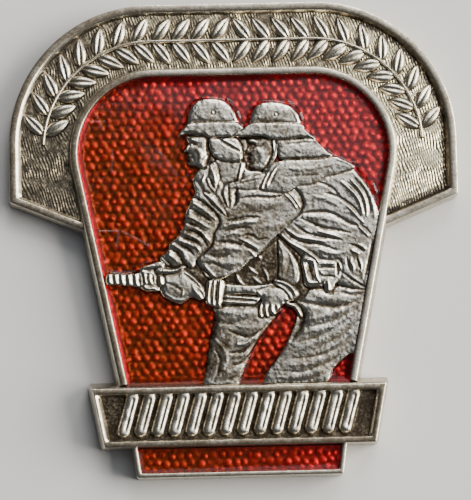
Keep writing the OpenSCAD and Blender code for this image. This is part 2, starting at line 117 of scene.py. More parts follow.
def smooth_noise(x, y, grain, seed):
    """Smooth random heights at the given points, about -1 to 1, with the given grain in mm."""
    rng = np.random.default_rng(seed)
    side = 256
    table = rng.uniform(-1, 1, (side, side))
    u = np.asarray(x) / grain + side / 2
    v = np.asarray(y) / grain + side / 2
    i, j = np.floor(u).astype(int), np.floor(v).astype(int)
    s, t = u - i, v - j
    s, t = s * s * (3 - 2 * s), t * t * (3 - 2 * t)
    i0, i1, j0, j1 = i % side, (i + 1) % side, j % side, (j + 1) % side
    low = table[j0, i0] * (1 - s) + table[j0, i1] * s
    high = table[j1, i0] * (1 - s) + table[j1, i1] * s
    return low * (1 - t) + high * t


def ease(t):
    """A soft step from 0 to 1 as t goes from 0 to 1."""
    t = np.clip(t, 0, 1)
    return t * t * (3 - 2 * t)


# Outlines

def inset_path(corners, radii, inset, closed, step=0.4):
    """The outline moved inwards, with rounded corners. Corners run counter-clockwise, and the
    inset is one number or one for each side, from the side that leaves the first corner."""
    p = np.array(corners, float)
    n = len(p)
    sides = np.zeros(n) + (inset if np.ndim(inset) == 0 else np.append(inset, [0] * (n - len(inset))))
    ends = np.roll(p, -1, 0)
    along = ends - p
    length = np.hypot(*along.T)
    along = along / length[:, None]
    normal = np.stack([-along[:, 1], along[:, 0]], 1)
    turns = []
    for k in range(n):
        if not closed and k in (0, n - 1):
            side = 0 if k == 0 else n - 2
            turns.append(((p[k] + normal[side] * sides[side])[None], 0.0))
            continue
        before, after = normal[k - 1], normal[k]
        mitre = (before + after) / (1 + before @ after)
        r = max(radii[k] - (sides[k - 1] + sides[k]) / 2, 0)
        centre = p[k] + np.linalg.solve([before, after], [sides[k - 1], sides[k]]) + mitre * r
        a0 = math.atan2(-before[1], -before[0])
        turn = math.atan2(before[0] * after[1] - before[1] * after[0], before @ after)
        steps = max(2, int(math.ceil(radii[k] * turn / step)) + 1)
        angles = a0 + turn * np.linspace(0, 1, steps)
        turns.append((centre + r * np.stack([np.cos(angles), np.sin(angles)], 1),
                      radii[k] * math.tan(turn / 2)))
    out = []
    for k in range(n if closed else n - 1):
        points, used = turns[k]
        after, used_after = turns[(k + 1) % n]
        out.append(points)
        count = max(1, int((length[k] - used - used_after) / step))
        share = (np.arange(1, count) / count)[:, None]
        out.append(points[-1] * (1 - share) + after[0] * share)
    if not closed:
        out.append(turns[-1][0])
    return np.concatenate(out)


def band_corners():
    half = BADGE_W / 2
    foot_y = BAND_SIDE_Y - (half - BAND_FOOT_X) * math.tan(BAND_SLOPE)
    right = [(BAND_FOOT_X, foot_y), (half, BAND_SIDE_Y), (half, BADGE_H)]
    return right + [(-x, y) for x, y in reversed(right)], [0, 0.35, BAND_R, BAND_R, 0.35, 0]


def shield_corners(foot_y):
    top_x = SHIELD_W / 2 - SHIELD_R + SHIELD_R * math.tan(math.pi / 4 + SHIELD_TAPER / 2)
    foot_x = top_x - (SHIELD_TOP_Y - foot_y) * math.tan(SHIELD_TAPER)
    right = [(foot_x, foot_y), (top_x, SHIELD_TOP_Y)]
    return right + [(-x, y) for x, y in reversed(right)], [0, SHIELD_R, SHIELD_R, 0]


def bar_corners():
    foot_x = BAR_W / 2 - (BAR_TOP_Y - BAR_Y) * math.tan(BAR_TAPER)
    return [(foot_x, BAR_Y), (BAR_W / 2, BAR_TOP_Y), (-BAR_W / 2, BAR_TOP_Y), (-foot_x, BAR_Y)], [0.3] * 4


def tag_corners():
    head_x = TAG_W / 2 + (TAG_HEAD_Y - BAR_Y) * math.tan(TAG_TAPER)
    foot_x = TAG_W / 2 - BAR_Y * math.tan(TAG_TAPER)
    return [(-head_x, TAG_HEAD_Y), (-foot_x, 0), (foot_x, 0), (head_x, TAG_HEAD_Y)], [0, 0.3, 0.3, 0]


# Height fields

def gap_to_line(gx, gy, line, closed):
    """Distance of points to a line, and the share of the line passed at the nearest place."""
    best = np.full(gx.shape, 1e9)
    share = np.zeros(gx.shape)
    starts = line if closed else line[:-1]
    ends = np.roll(line, -1, 0) if closed else line[1:]
    for i, (a, b) in enumerate(zip(starts, ends)):
        d = b - a
        t = np.clip(((gx - a[0]) * d[0] + (gy - a[1]) * d[1]) / max(d @ d, 1e-12), 0, 1)
        q = np.hypot(gx - a[0] - t * d[0], gy - a[1] - t * d[1])
        near = q < best
        best[near] = q[near]
        share[near] = ((i + t) / len(starts))[near]
    return best, share


def depth_inside(gx, gy, outline):
    """Distance of points inside a closed outline, negative outside it."""
    inside = np.zeros(gx.shape, bool)
    for a, b in zip(outline, np.roll(outline, -1, 0)):
        if a[1] == b[1]:
            continue
        crossed = (a[1] > gy) != (b[1] > gy)
        inside ^= crossed & (gx < (b[0] - a[0]) * (gy - a[1]) / (b[1] - a[1]) + a[0])
    gap, _ = gap_to_line(gx, gy, outline, True)
    return np.where(inside, gap, -gap)


class Field:
    """A grid of points over a box, with distances to outlines on it."""

    def __init__(self, box, cell_x, cell_y):
        x0, x1, y0, y1 = box
        self.x = np.arange(x0, x1 + cell_x / 2, cell_x)
        self.y = np.arange(y0, y1 + cell_y / 2, cell_y)
        self.h = np.zeros((len(self.y), len(self.x)))

    def everywhere(self):
        return slice(0, len(self.y)), slice(0, len(self.x))

    def window(self, line, margin):
        low, high = line.min(0) - margin, line.max(0) + margin
        i0, i1 = np.searchsorted(self.x, (low[0], high[0]))
        j0, j1 = np.searchsorted(self.y, (low[1], high[1]))
        return slice(j0, j1), slice(i0, i1)

    def gap(self, line, closed, window):
        return gap_to_line(*np.meshgrid(self.x[window[1]], self.y[window[0]]), line, closed)

    def depth(self, outline, window):
        return depth_inside(*np.meshgrid(self.x[window[1]], self.y[window[0]]), outline)


def blurred(a, cells):
    """The grid smoothed by a bell curve as wide as the given number of cells."""
    reach = np.arange(-2 * cells, 2 * cells + 1)
    kernel = np.exp(-0.5 * (reach / cells) ** 2)
    kernel /= kernel.sum()
    for axis in (0, 1):
        pad = [(2 * cells, 2 * cells) if k == axis else (0, 0) for k in (0, 1)]
        wide = np.pad(a, pad, mode="edge")
        a = sum(w * np.take(wide, range(i, i + a.shape[axis]), axis) for i, w in enumerate(kernel))
    return a


# Meshes

def mesh_object(name, points, faces, material, slot, wear_and_shade=None, sharp_deg=50, replaces=None):
    """A piece in the row frame, from points in mm, with the share of dark wear and painted shade at each
    point.
    """
    mesh = bpy.data.meshes.new(name)
    p = np.array(points, float)
    p[:, 1] += CAD_BOX[0].y / MM
    corners = np.asarray(faces, np.int32)
    mesh.vertices.add(len(p))
    mesh.vertices.foreach_set("co", (p * MM).ravel())
    mesh.loops.add(corners.size)
    mesh.loops.foreach_set("vertex_index", corners.ravel())
    mesh.polygons.add(len(corners))
    mesh.polygons.foreach_set("loop_start", np.arange(0, corners.size, 4))
    mesh.update(calc_edges=True)
    mesh.shade_smooth()
    mesh.set_sharp_from_angle(angle=math.radians(sharp_deg))
    attribute = mesh.attributes.new("wear_and_shade", "FLOAT", "POINT")
    attribute.data.foreach_set("value", np.zeros(len(p), np.float32) if wear_and_shade is None
                               else np.asarray(wear_and_shade, np.float32))
    mesh.materials.append(material)
    piece = bpy.data.objects.new(name, mesh)
    bpy.context.scene.collection.objects.link(piece)
    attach(piece, "root")
    if replaces:
        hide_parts(replaces)
    return piece


def grid_object(name, field, z, keep, material, slot, wear_and_shade=None, flip=False, **more):
    """A piece from the kept points of a height field; z is above the surface it lies on."""
    cells = keep[:-1, :-1] & keep[1:, :-1] & keep[:-1, 1:] & keep[1:, 1:]
    used = np.zeros(keep.shape, bool)
    for rows in (slice(0, -1), slice(1, None)):
        for columns in (slice(0, -1), slice(1, None)):
            used[rows, columns] |= cells
    index = np.cumsum(used.ravel()).reshape(used.shape) - 1
    gx, gy = np.meshgrid(field.x, field.y)
    points = np.stack([gx[used], gy[used], z[used]], 1)
    corners = [index[:-1, :-1], index[:-1, 1:], index[1:, 1:], index[1:, :-1]]
    if flip:
        corners.reverse()
    faces = np.stack([c[cells] for c in corners], 1)
    return mesh_object(name, points, faces, material, slot,
                       None if wear_and_shade is None else wear_and_shade[used], **more)


def swept_object(name, outline, closed, profile, floor, material, slot, left_top_shade=0.0, right_foot_shade=0.0,
                 ripple=0.02, **more):
    """A rim along an outline: profile rows are inset, height and the share of wear and painted shade;
    floor gives the lowest height. Its flat top, the two rows with the most height, gets painted shade at
    the left, and its inner foot, the last three rows, gets a painted shadow at the right; two arguments
    set how strong each is."""
    corners, radii = outline
    rows = []
    wear_and_shade = []
    low = floor(inset_path(corners, radii, 0, closed))
    for inset, z, wear in profile:
        path = inset_path(corners, radii, inset, closed)
        uneven = ripple * smooth_noise(path[:, 0], path[:, 1], 1.7, 3) * (z > HIDDEN_Z)
        fine = 0.4 * ripple * smooth_noise(path[:, 0], path[:, 1], 0.5, 4) * (z > HIDDEN_Z)
        height = np.minimum(np.maximum(z, low) + uneven + fine - ripple * (z > HIDDEN_Z), BADGE_TOP_Z)
        rows.append(np.column_stack([path, height]))
        flat = z >= max(row[1] for row in profile)
        foot = len(wear_and_shade) >= len(profile) - 3
        # painted shade on the left of the flat top, and a painted shadow on the inner foot at the right
        wear_and_shade.append(wear + left_top_shade * flat * ease((-path[:, 0] - 5) / 6)
                    + right_foot_shade * foot * ease((path[:, 0] - 8) / 4))
    n = len(rows[0])
    faces = []
    for k in range(len(rows) - 1):
        for i in range(n if closed else n - 1):
            j = (i + 1) % n
            faces.append((k * n + i, k * n + j, (k + 1) * n + j, (k + 1) * n + i))
    return mesh_object(name, np.concatenate(rows), faces, material, slot, np.concatenate(wear_and_shade), **more)


# Materials

class Surface:
    """A material with one shader, and the nodes that feed it."""

    def __init__(self, name):
        self.material = bpy.data.materials.new(name)
        self.material.use_nodes = True
        self.nodes = self.material.node_tree.nodes
        self.links = self.material.node_tree.links
        self.nodes.clear()
        output = self.nodes.new("ShaderNodeOutputMaterial")
        self.shader = self.nodes.new("ShaderNodeBsdfPrincipled")
        self.links.new(self.shader.outputs["BSDF"], output.inputs["Surface"])

    def feed(self, socket, value):
        """Links another node's output to a socket, or sets the socket to a number or a colour."""
        if isinstance(value, bpy.types.NodeSocket):
            self.links.new(value, socket)
        else:
            socket.default_value = value

    def set(self, name, value):
        self.feed(self.shader.inputs[name], value)

    def math(self, operation, a, b, c=0.0, clamp=False):
        node = self.nodes.new("ShaderNodeMath")
        node.operation = operation
        node.use_clamp = clamp
        for socket, value in zip(node.inputs, (a, b, c)):
            self.feed(socket, value)
        return node.outputs["Value"]

    def wear_and_shade(self):
        """The share of dark wear and painted shade at each point of the mesh."""
        node = self.nodes.new("ShaderNodeAttribute")
        node.attribute_name = "wear_and_shade"
        return node.outputs["Fac"]

    def place(self):
        """The place of a point in the row frame."""
        return self.nodes.new("ShaderNodeTexCoord").outputs["Object"]

    def noise(self, per_mm, detail, rough):
        """Noise from 0 to 1 with about the given number of grains in a millimetre."""
        node = self.nodes.new("ShaderNodeTexNoise")
        node.inputs["Scale"].default_value = per_mm / MM
        node.inputs["Detail"].default_value = detail
        node.inputs["Roughness"].default_value = rough
        self.links.new(self.place(), node.inputs["Vector"])
        return node.outputs["Fac"]

    def centred_noise(self, spread, per_mm, detail, rough):
        """Noise that reaches half the spread to each side of 0."""
        return self.math("MULTIPLY_ADD", self.noise(per_mm, detail, rough), spread, -0.5 * spread)

    def ramp(self, factor, stops):
        node = self.nodes.new("ShaderNodeValToRGB")
        elements = node.color_ramp.elements
        while len(elements) < len(stops):
            elements.new(0.5)
        for element, (position, colour) in zip(elements, stops):
            element.position = position
            element.color = (*colour, 1)
        self.links.new(factor, node.inputs["Fac"])
        return node.outputs["Color"]

    def mix(self, factor, first, second):
        """Turns from the first colour to the second one with the factor."""
        node = self.nodes.new("ShaderNodeMix")
        node.data_type = "RGBA"
        first_socket, second_socket = node.inputs[6], node.inputs[7]
        self.feed(node.inputs["Factor"], factor)
        self.feed(first_socket, first)
        self.feed(second_socket, second)
        return node.outputs[2]

    def roughen(self, tone, low, high):
        """Roughness from low to high as the tone goes from 0 to 1."""
        node = self.nodes.new("ShaderNodeMapRange")
        node.inputs["To Min"].default_value = low
        node.inputs["To Max"].default_value = high
        self.links.new(tone, node.inputs["Value"])
        self.set("Roughness", node.outputs["Result"])

    def bump(self, height, depth_mm):
        node = self.nodes.new("ShaderNodeBump")
        node.inputs["Strength"].default_value = 1.0
        node.inputs["Distance"].default_value = depth_mm * MM
        self.links.new(height, node.inputs["Height"])
        self.set("Normal", node.outputs["Normal"])


def cast_metal(name, stops, rough_low, rough_high, pits_mm, patchy=0.9, speckled=1.2):
    """Worn cast metal: bright on top, dark where the wear and painted shade value or the blotches are high.
    """
    metal = Surface(name)
    metal.set("Metallic", 1.0)
    blotches = metal.centred_noise(patchy, 0.9, 4.0, 0.6)
    specks = metal.centred_noise(speckled, 4.0, 3.0, 0.6)
    tone = metal.math("ADD", metal.wear_and_shade(), metal.math("ADD", blotches, specks), clamp=True)
    metal.set("Base Color", metal.ramp(tone, stops))
    metal.roughen(tone, rough_low, rough_high)
    metal.bump(metal.noise(6.0, 3.0, 0.65), pits_mm)
    return metal.material


# Colours of the metal and of the enamel's ground, by the share of wear and painted shade
SILVER_STOPS = [(0.0, (0.88, 0.82, 0.68)), (0.25, (0.60, 0.54, 0.43)),
                (0.55, (0.23, 0.19, 0.135)), (0.9, (0.045, 0.034, 0.023))]
GILT_STOPS = [(0.0, (1.0, 0.89, 0.58)), (0.25, (0.70, 0.59, 0.37)),
              (0.55, (0.20, 0.165, 0.115)), (0.9, (0.045, 0.04, 0.036))]
STEEL_STOPS = [(0.3, (0.62, 0.60, 0.55)), (0.7, (0.36, 0.33, 0.28))]
BROWN_STOPS = [(0.0, (0.95, 0.11, 0.07)), (0.35, (0.6, 0.10, 0.05)), (0.85, (0.19, 0.095, 0.025))]
CRIMSON_STOPS = [(0.0, (1.0, 0.05, 0.12)), (0.35, (0.75, 0.045, 0.085)), (0.85, (0.24, 0.03, 0.05))]
# Painted highlight: red of the lit strip along the left wall of the field
LIT_STRIP_RED = (0.5, 0.002, 0.012, 1)


def enamel_ground():
    """Metal under the enamel, seen through it: browner at the lower left, crimson at the right and top,
    where the crimson paints the pinkish haze of light reflected in the enamel. A value above 1 is a
    painted highlight: the lit red strip along the left wall, which faces the light."""
    ground = Surface("enamel_ground")
    ground.set("Metallic", 0.7)
    ground.set("Roughness", 0.36)
    wear_and_shade = ground.wear_and_shade()
    tone = ground.math("ADD", wear_and_shade, ground.centred_noise(0.5, 0.35, 3.0, 0.6), clamp=True)
    axes = ground.nodes.new("ShaderNodeSeparateXYZ")
    ground.links.new(ground.place(), axes.inputs["Vector"])
    crimson_y = 29 + CAD_BOX[0].y / MM
    across_per_mm, up_per_mm = 0.07, 0.16
    # Painted reflection: the shift to crimson towards the right and top stands for the pinkish haze of light
    # reflected in the enamel
    across = ground.math("MULTIPLY_ADD", axes.outputs["X"], across_per_mm / MM, 0.35)
    up = ground.math("MULTIPLY_ADD", axes.outputs["Y"], up_per_mm / MM, -up_per_mm * crimson_y, clamp=True)
    red = ground.mix(ground.math("ADD", across, up, clamp=True), ground.ramp(tone, BROWN_STOPS),
                     ground.ramp(tone, CRIMSON_STOPS))
    # Painted highlight: values above 1 turn to the lit red strip
    lit_strip = ground.math("MULTIPLY_ADD", wear_and_shade, 3.0, -3.6, clamp=True)
    ground.set("Base Color", ground.mix(lit_strip, red, LIT_STRIP_RED))
    return ground.material


def enamel():
    """Clear red glass, slightly uneven on top."""
    glass = Surface("enamel")
    glass.set("Base Color", (0.92, 0.30, 0.22, 1))
    glass.set("Transmission Weight", 1.0)
    glass.set("Roughness", 0.08)
    glass.set("IOR", 1.42)
    glass.bump(glass.noise(0.8, 6.0, 0.6), 0.01)
    return glass.material


def pin_steel():
    steel = Surface("pin_steel")
    steel.set("Metallic", 1.0)
    tone = steel.noise(1.2, 4.0, 0.6)
    steel.set("Base Color", steel.ramp(tone, STEEL_STOPS))
    steel.roughen(tone, 0.22, 0.5)
    return steel.material


METAL = cast_metal("cast_metal", SILVER_STOPS, 0.24, 0.55, 0.016)
RIM_METAL = cast_metal("rim_metal", SILVER_STOPS, 0.24, 0.5, 0.012, 0.6, 0.7)
GROUND_METAL = cast_metal("ground_metal", GILT_STOPS, 0.18, 0.5, 0.010)
RELIEF_METAL = cast_metal("relief_metal", SILVER_STOPS, 0.18, 0.5, 0.016, 1.3, 1.5)
ENAMEL_GROUND = enamel_ground()
ENAMEL = enamel()
PIN = pin_steel()


# Body of cast metal

def rim_profile(ground, top, outer, flat, inner, base=HIDDEN_Z, top_shade=0.0):
    """Rows of a rim: up the outer wall, which leans in by outer, over the top and down to the ground.
    Each width is one number, or one for each side of the outline; the last argument darkens the flat top
    with painted shade."""
    a = np.array(outer, float)
    b = a + flat
    c = b + inner
    rise = top - base
    return [(0.9, 0.0, 0.6), (0.12, 0.0, 0.5), (0.0, 0.12, 0.4), (0.01, base * 0.6, 0.3), (0.03, base, 0.35),
            (a * 0.5, base + 0.55 * rise, 0.3), (a * 0.85, top - 0.12, 0.2), (a, top - 0.03, 0.05),
            # the flat top's rows carry the painted shade
            (a + 0.07, top, 0.14 + top_shade), (b - 0.07, top, 0.18 + top_shade), (b, top - 0.03, 0.05 + top_shade / 2),
            (b + (c - b) * 0.3, top - 0.13, 0.1), (b + (c - b) * 0.9, ground + 0.08, 0.25),
            (c, ground - 0.04, 0.8)]


def floor_outside(*others):
    """Floor of a rim: it stands on the table, and ends in the metal where another plate is under it."""
    def floor(path):
        low = np.zeros(len(path))
        for corners, radii in others:
            depth = depth_inside(path[:, 0], path[:, 1], inset_path(corners, radii, 0, True))
            low = np.where(depth > 0.5, HIDDEN_Z, low)
        return low
    return floor


def build_rims():
    band, shield, bar, tag = band_corners(), shield_corners(SHIELD_RIM_FOOT_Y), bar_corners(), tag_corners()
    plate = shield_corners(SHIELD_PLATE_FOOT_Y)
    band_rows = rim_profile(BAND_Z, BAND_RIM_Z, outer=[0.1] * 5, flat=0.6, inner=[0.3, 0.45, 0.3, 0.45, 0.3],
                            base=1.9, top_shade=0.22)
    shield_rows = rim_profile(FIELD_Z, SHIELD_RIM_Z, outer=0.36, flat=0.55, inner=0.14, top_shade=0.08)
    # Sides of the bar in the order right, top, left, foot
    bar_rows = rim_profile(BAR_Z, BAR_RIM_Z, outer=[0.28, 0.68, 0.45, 0.08], flat=[0.40, 0.50, 0.14, 0.48],
                           inner=[0.45, 0.15, 0.45, 0.15], base=1.4, top_shade=0.38)
    tag_rows = rim_profile(TAG_Z, TAG_RIM_Z, outer=0.10, flat=0.36, inner=0.14, base=1.2, top_shade=0.14)
    # The rims' tops get painted shade at the left; the band's inner foot gets a painted shadow at the right
    swept_object("band_rim", band, False, band_rows, floor_outside(plate), RIM_METAL, "cast_metal",
                 left_top_shade=0.14, right_foot_shade=0.6)
    swept_object("shield_rim", shield, False, shield_rows, floor_outside(band, bar), RIM_METAL, "cast_metal",
                 left_top_shade=0.35, replaces="badge_body")
    swept_object("bar_rim", bar, True, bar_rows, floor_outside(plate, tag), RIM_METAL, "cast_metal")
    swept_object("tag_rim", tag, False, tag_rows, floor_outside(bar), RIM_METAL, "cast_metal")


def build_back():
    """Back of the badge: a flat wall along its edge and the hollow inside it."""
    cell = 0.25
    field = Field((-BADGE_W / 2, BADGE_W / 2, 0, BADGE_H), cell, cell)
    plates = [band_corners(), shield_corners(SHIELD_PLATE_FOOT_Y), bar_corners(), tag_corners()]
    depth = np.max([field.depth(inset_path(c, r, 0, True), field.everywhere()) for c, r in plates], 0)
    gx, gy = np.meshgrid(field.x, field.y)
    rough = 0.03 * smooth_noise(gx, gy, 0.9, 5) + 0.02 * smooth_noise(gx, gy, 0.4, 6)
    rise = ease((depth - BACK_WALL) / 0.4)
    z = 0.02 + (BACK_HOLLOW - 0.06 + rough) * rise
    wear_and_shade = 0.25 + 0.35 * ease((depth - BACK_WALL + 0.1) / 0.3) * (1 - 0.5 * ease((depth - 2.2) / 1.5))
    grid_object("back_of_badge", field, z, depth > 0.3, METAL, "cast_metal", wear_and_shade, flip=True)


def build_band_ground():
    """Ground of the band, chased with fine wavy ridges, which are beaded at the right. Its colour has
    painted light at the right, painted shade at the left and a painted shadow along the right rim.
    """
    edge, foot_y, under_shield = 0.8, 22, 0.3
    field = Field((-BADGE_W / 2 + edge, BADGE_W / 2 - edge, foot_y, BADGE_H - edge), 0.055, 0.16)
    band, shield = band_corners(), shield_corners(SHIELD_PLATE_FOOT_Y)
    depth = field.depth(inset_path(*band, 0, True), field.everywhere())
    in_shield = field.depth(inset_path(*shield, 0, True), field.everywhere())
    keep = (depth > edge + 0.05) & (in_shield < under_shield)
    gx, gy = np.meshgrid(field.x, field.y)
    pitch, bead_pitch = 0.25, 0.46
    at_left = ease((-7 - gx) / 7)
    wobble = (0.6 + 0.5 * at_left) * smooth_noise(gx, gy, 1.6, 7) + 0.35 * smooth_noise(gx, gy, 0.6, 8)
    phase = (gx + 0.35 * gy) / pitch + wobble
    ridge = 0.5 + 0.5 * np.cos(2 * math.pi * phase)
    broken = 0.55 + 0.45 * smooth_noise(gx, gy, 0.34, 9)
    side = ease((gx - 7) / 7)
    bead_phase = (gy - 0.4 * gx) / bead_pitch + 0.5 * smooth_noise(gx, gy, 0.8, 18)
    beads = 0.6 + 0.4 * np.cos(2 * math.pi * bead_phase)
    broken += side * (beads - broken)
    height = 0.10 * ridge * broken + 0.03 * smooth_noise(gx, gy, 1.2, 10)
    # Painted shadow of the right rim on the ground beside it
    rim_shadow = ease((1.6 - depth) / 0.4) * ease((gx - 9) / 4)
    # Painted light makes the ground brighter at the right; painted shade takes contrast away at the left
    wear_and_shade = 0.70 - (0.75 - 0.4 * at_left) * ridge * broken - 0.47 * side + 0.8 * rim_shadow
    grid_object("band_ground", field, BAND_Z - GROUND_SINK + height, keep, GROUND_METAL, "cast_metal", wear_and_shade)


def leaf_points(length, width, height):
    """A domed leaf lying along +x from its stalk, with a sunk midrib; rows run along it."""
    rows, columns = 15, 11
    t = np.linspace(0, 1, rows)[:, None]
    s = np.linspace(-1, 1, columns)[None, :]
    half = width / 2 * np.sin(math.pi * t ** 0.85) ** 0.75
    x = length * t + 0 * s
    y = half * s
    dome = np.sqrt(np.clip(1 - np.abs(s) ** 2.4, 0, 1))
    ends = np.sqrt(np.clip(np.sin(math.pi * t ** 0.85), 0, 1))
    midrib = 0.30 * np.exp(-(s / 0.16) ** 2) * ease((1 - t) / 0.3)
    veins = 0.08 * np.cos(2 * math.pi * (5 * t - 1.4 * np.abs(s))) * (1 - np.abs(s))
    z = height * (ends * dome * (1 - midrib) + veins * ends * 0.6)
    wear_and_shade = np.clip(0.75 - 0.8 * ends * dome, 0, 1) + 0.5 * midrib
    return np.stack([x, y, z], -1).reshape(-1, 3), wear_and_shade.ravel(), rows, columns


def laurel_path(s):
    """Point and heading at a length along the laurel's middle line, from the top centre."""
    inner_x = SHIELD_W / 2
    top_y = (BADGE_H - BAND_RIM_W + SHIELD_TOP_Y) / 2
    side_x = (BADGE_W / 2 - BAND_RIM_W + inner_x) / 2
    cx = (BADGE_W / 2 - BAND_R + inner_x - SHIELD_R) / 2
    r = side_x - cx
    if s < cx:
        return (s, top_y), math.pi
    turn = (s - cx) / r
    return (cx + r * math.sin(turn), top_y - r + r * math.cos(turn)), math.pi - turn


def build_laurel():
    leaf_pitch, leaf_angle, leaf_len, leaf_w, leaf_h = 1.75, math.radians(52), 2.7, 1.35, 0.5
    pairs, stem_len, stem_r, stem_h = 12, 21.9, 0.2, 0.42
    points, faces, wear_and_shade = [], [], []

    def add(p, rows, columns, wear):
        base = len(points)
        points.extend(p)
        wear_and_shade.extend(wear)
        for i in range(rows - 1):
            for j in range(columns - 1):
                a = base + i * columns + j
                faces.append((a, a + columns, a + columns + 1, a + 1))

    leaf, leaf_wear, rows, columns = leaf_points(leaf_len, leaf_w, leaf_h)
    for side in (1, -1):
        for k in range(1, pairs + 1):
            (x, y), heading = laurel_path(k * leaf_pitch)
            for lean in (-1, 1):
                a = heading + lean * leaf_angle
                c, s = math.cos(a), math.sin(a)
                px = x + leaf[:, 0] * c - leaf[:, 1] * s
                py = y + leaf[:, 0] * s + leaf[:, 1] * c
                p = np.stack([side * px, py, BAND_Z - GROUND_SINK + leaf[:, 2]], 1)
                if side < 0:
                    p = p.reshape(rows, columns, 3)[:, ::-1].reshape(-1, 3)
                add(p, rows, columns, leaf_wear)
        steps, around = 60, 7
        stem = []
        for i in range(steps):
            (x, y), heading = laurel_path(stem_len * i / (steps - 1))
            nx, ny = -math.sin(heading), math.cos(heading)
            for j in range(around):
                u = -1 + 2 * j / (around - 1)
                stem.append((side * (x + stem_r * u * nx), y + stem_r * u * ny,
                             BAND_Z - GROUND_SINK + stem_h * math.sqrt(max(0, 1 - u * u))))
        stem = np.array(stem)
        if side > 0:
            stem = stem.reshape(steps, around, 3)[:, ::-1].reshape(-1, 3)
        add(stem, steps, around, np.tile([0.8, 0.3, 0.1, 0.1, 0.1, 0.3, 0.8], steps))
    mesh_object("laurel", points, faces, METAL, "cast_metal", np.clip(wear_and_shade, 0, 1))


def build_bar_ground():
    """Ground of the bar with its row of slanted strands."""
    cell, edge = 0.07, 0.6
    field = Field((-BAR_W / 2, BAR_W / 2, BAR_Y, BAR_TOP_Y), cell, cell)
    keep = field.depth(inset_path(*bar_corners(), 0, True), field.everywhere()) > edge
    gx, gy = np.meshgrid(field.x, field.y)
    pitch, strand_r, strand_h, lean = 1.5, 0.62, 0.5, math.radians(16)
    groove_x, groove_w, groove_depth = 0.12, 0.1, 0.09
    half_len = (BAR_TOP_Y - BAR_Y - 1.8) / math.cos(lean) / 2
    middle = (BAR_Y + BAR_TOP_Y) / 2
    count = 14
    height = 0.02 * smooth_noise(gx, gy, 0.5, 11) + 0.012 * smooth_noise(gx, gy, 0.2, 12)
    uneven = 0.05 * smooth_noise(gx, gy, 0.7, 16)
    wear_and_shade = np.full(gx.shape, 0.85)
    for i in range(count):
        cx = (i - (count - 1) / 2) * pitch
        u = (gx - cx) * math.cos(lean) - (gy - middle) * math.sin(lean)
        v = (gx - cx) * math.sin(lean) + (gy - middle) * math.cos(lean)
        over = np.maximum(np.abs(v) - (half_len - strand_r), 0)
        q = np.hypot(u, over) / strand_r
        groove = np.exp(-((u - groove_x) / groove_w) ** 2) * ease((half_len - 0.5 - np.abs(v)) / 0.4)
        dome = (strand_h + uneven) * np.clip(1 - q ** 3, 0, 1) ** 0.5 - groove_depth * groove
        height = np.maximum(height, dome)
        wear_and_shade = np.where(q < 1, 0.14 + 0.5 * q ** 6 + 0.25 * groove, wear_and_shade)
    grid_object("bar_ground", field, np.minimum(BAR_Z + height, BADGE_TOP_Z), keep, METAL, "cast_metal",
                np.clip(wear_and_shade, 0, 1), sharp_deg=80)


def pebbles(field, seed, pitch=0.76, jitter=0.13, radius=0.34):
    """Heights of rounded pebbles in staggered rows over a field, 0 to 1."""
    rng = np.random.default_rng(seed)
    gx, gy = np.meshgrid(field.x, field.y)
    best = np.zeros(gx.shape)
    row_h = pitch * 0.87
    for j in range(int((field.y[-1] - field.y[0]) / row_h) + 2):
        for i in range(int((field.x[-1] - field.x[0]) / pitch) + 2):
            cx = field.x[0] + (i + 0.5 * (j % 2)) * pitch + rng.uniform(-jitter, jitter)
            cy = field.y[0] + j * row_h + rng.uniform(-jitter, jitter)
            r = radius * rng.uniform(0.75, 1.2)
            top = rng.uniform(0.3, 1.0)
            w = field.window(np.array([[cx, cy]]), r)
            q = np.hypot(gx[w] - cx, gy[w] - cy) / r
            best[w] = np.maximum(best[w], top * np.clip(1 - q * q, 0, 1) ** 0.8)
    return best


# Figures in relief

RELIEF_CELL = 0.075
RELIEF_BOX = (-14.1, 14.1, 7.95, 36.0)
RELIEF_SCALE = 0.88
EDGE_SOFT = 0.05
GROOVE = 0.06
GROOVE_W = 0.14

# Heights in the table below under which the relief is painted dark as shade in its recesses, and under which
# glass covers it
DARK_BELOW = 0.76
GLASS_BELOW = 0.64

# Darker and brighter places of the figures, partly stains and partly painted light and shade: the bright
# places at the right edge of the right coat are painted highlights: x, y, reach and change of wear and shade
STAINS_AND_LIGHT = [(0.5, 21.5, 4.0, 0.22), (-4.0, 20.5, 3.0, 0.06), (-1.0, 11.5, 3.2, 0.32), (10.5, 23.8, 3.0, -0.20),
          (8.0, 18.0, 2.5, -0.08), (4.6, 18.6, 1.3, 0.22), (-3.9, 28.4, 1.2, 0.08), (10.8, 13.5, 2.2, -0.08),
          (11.3, 24.2, 1.9, -0.25), (-0.8, 29.0, 1.0, -0.15), (6.6, 9.2, 2.0, 0.16), (-4.0, 21.6, 1.6, 0.3)]

# Fine cracks in the enamel
CRACKS = [[(-12.0, 22.1), (-10.2, 22.1), (-9.5, 21.8), (-8.6, 21.3), (-7.6, 20.7)],
          [(-10.2, 22.0), (-10.4, 20.6)], [(-6.7, 29.3), (-5.6, 28.1), (-5.0, 27.0)],
          [(-10.6, 29.2), (-10.7, 27.4)], [(-12.4, 31.95), (-11.3, 31.95)], [(-12.0, 32.4), (-11.5, 31.3)]]

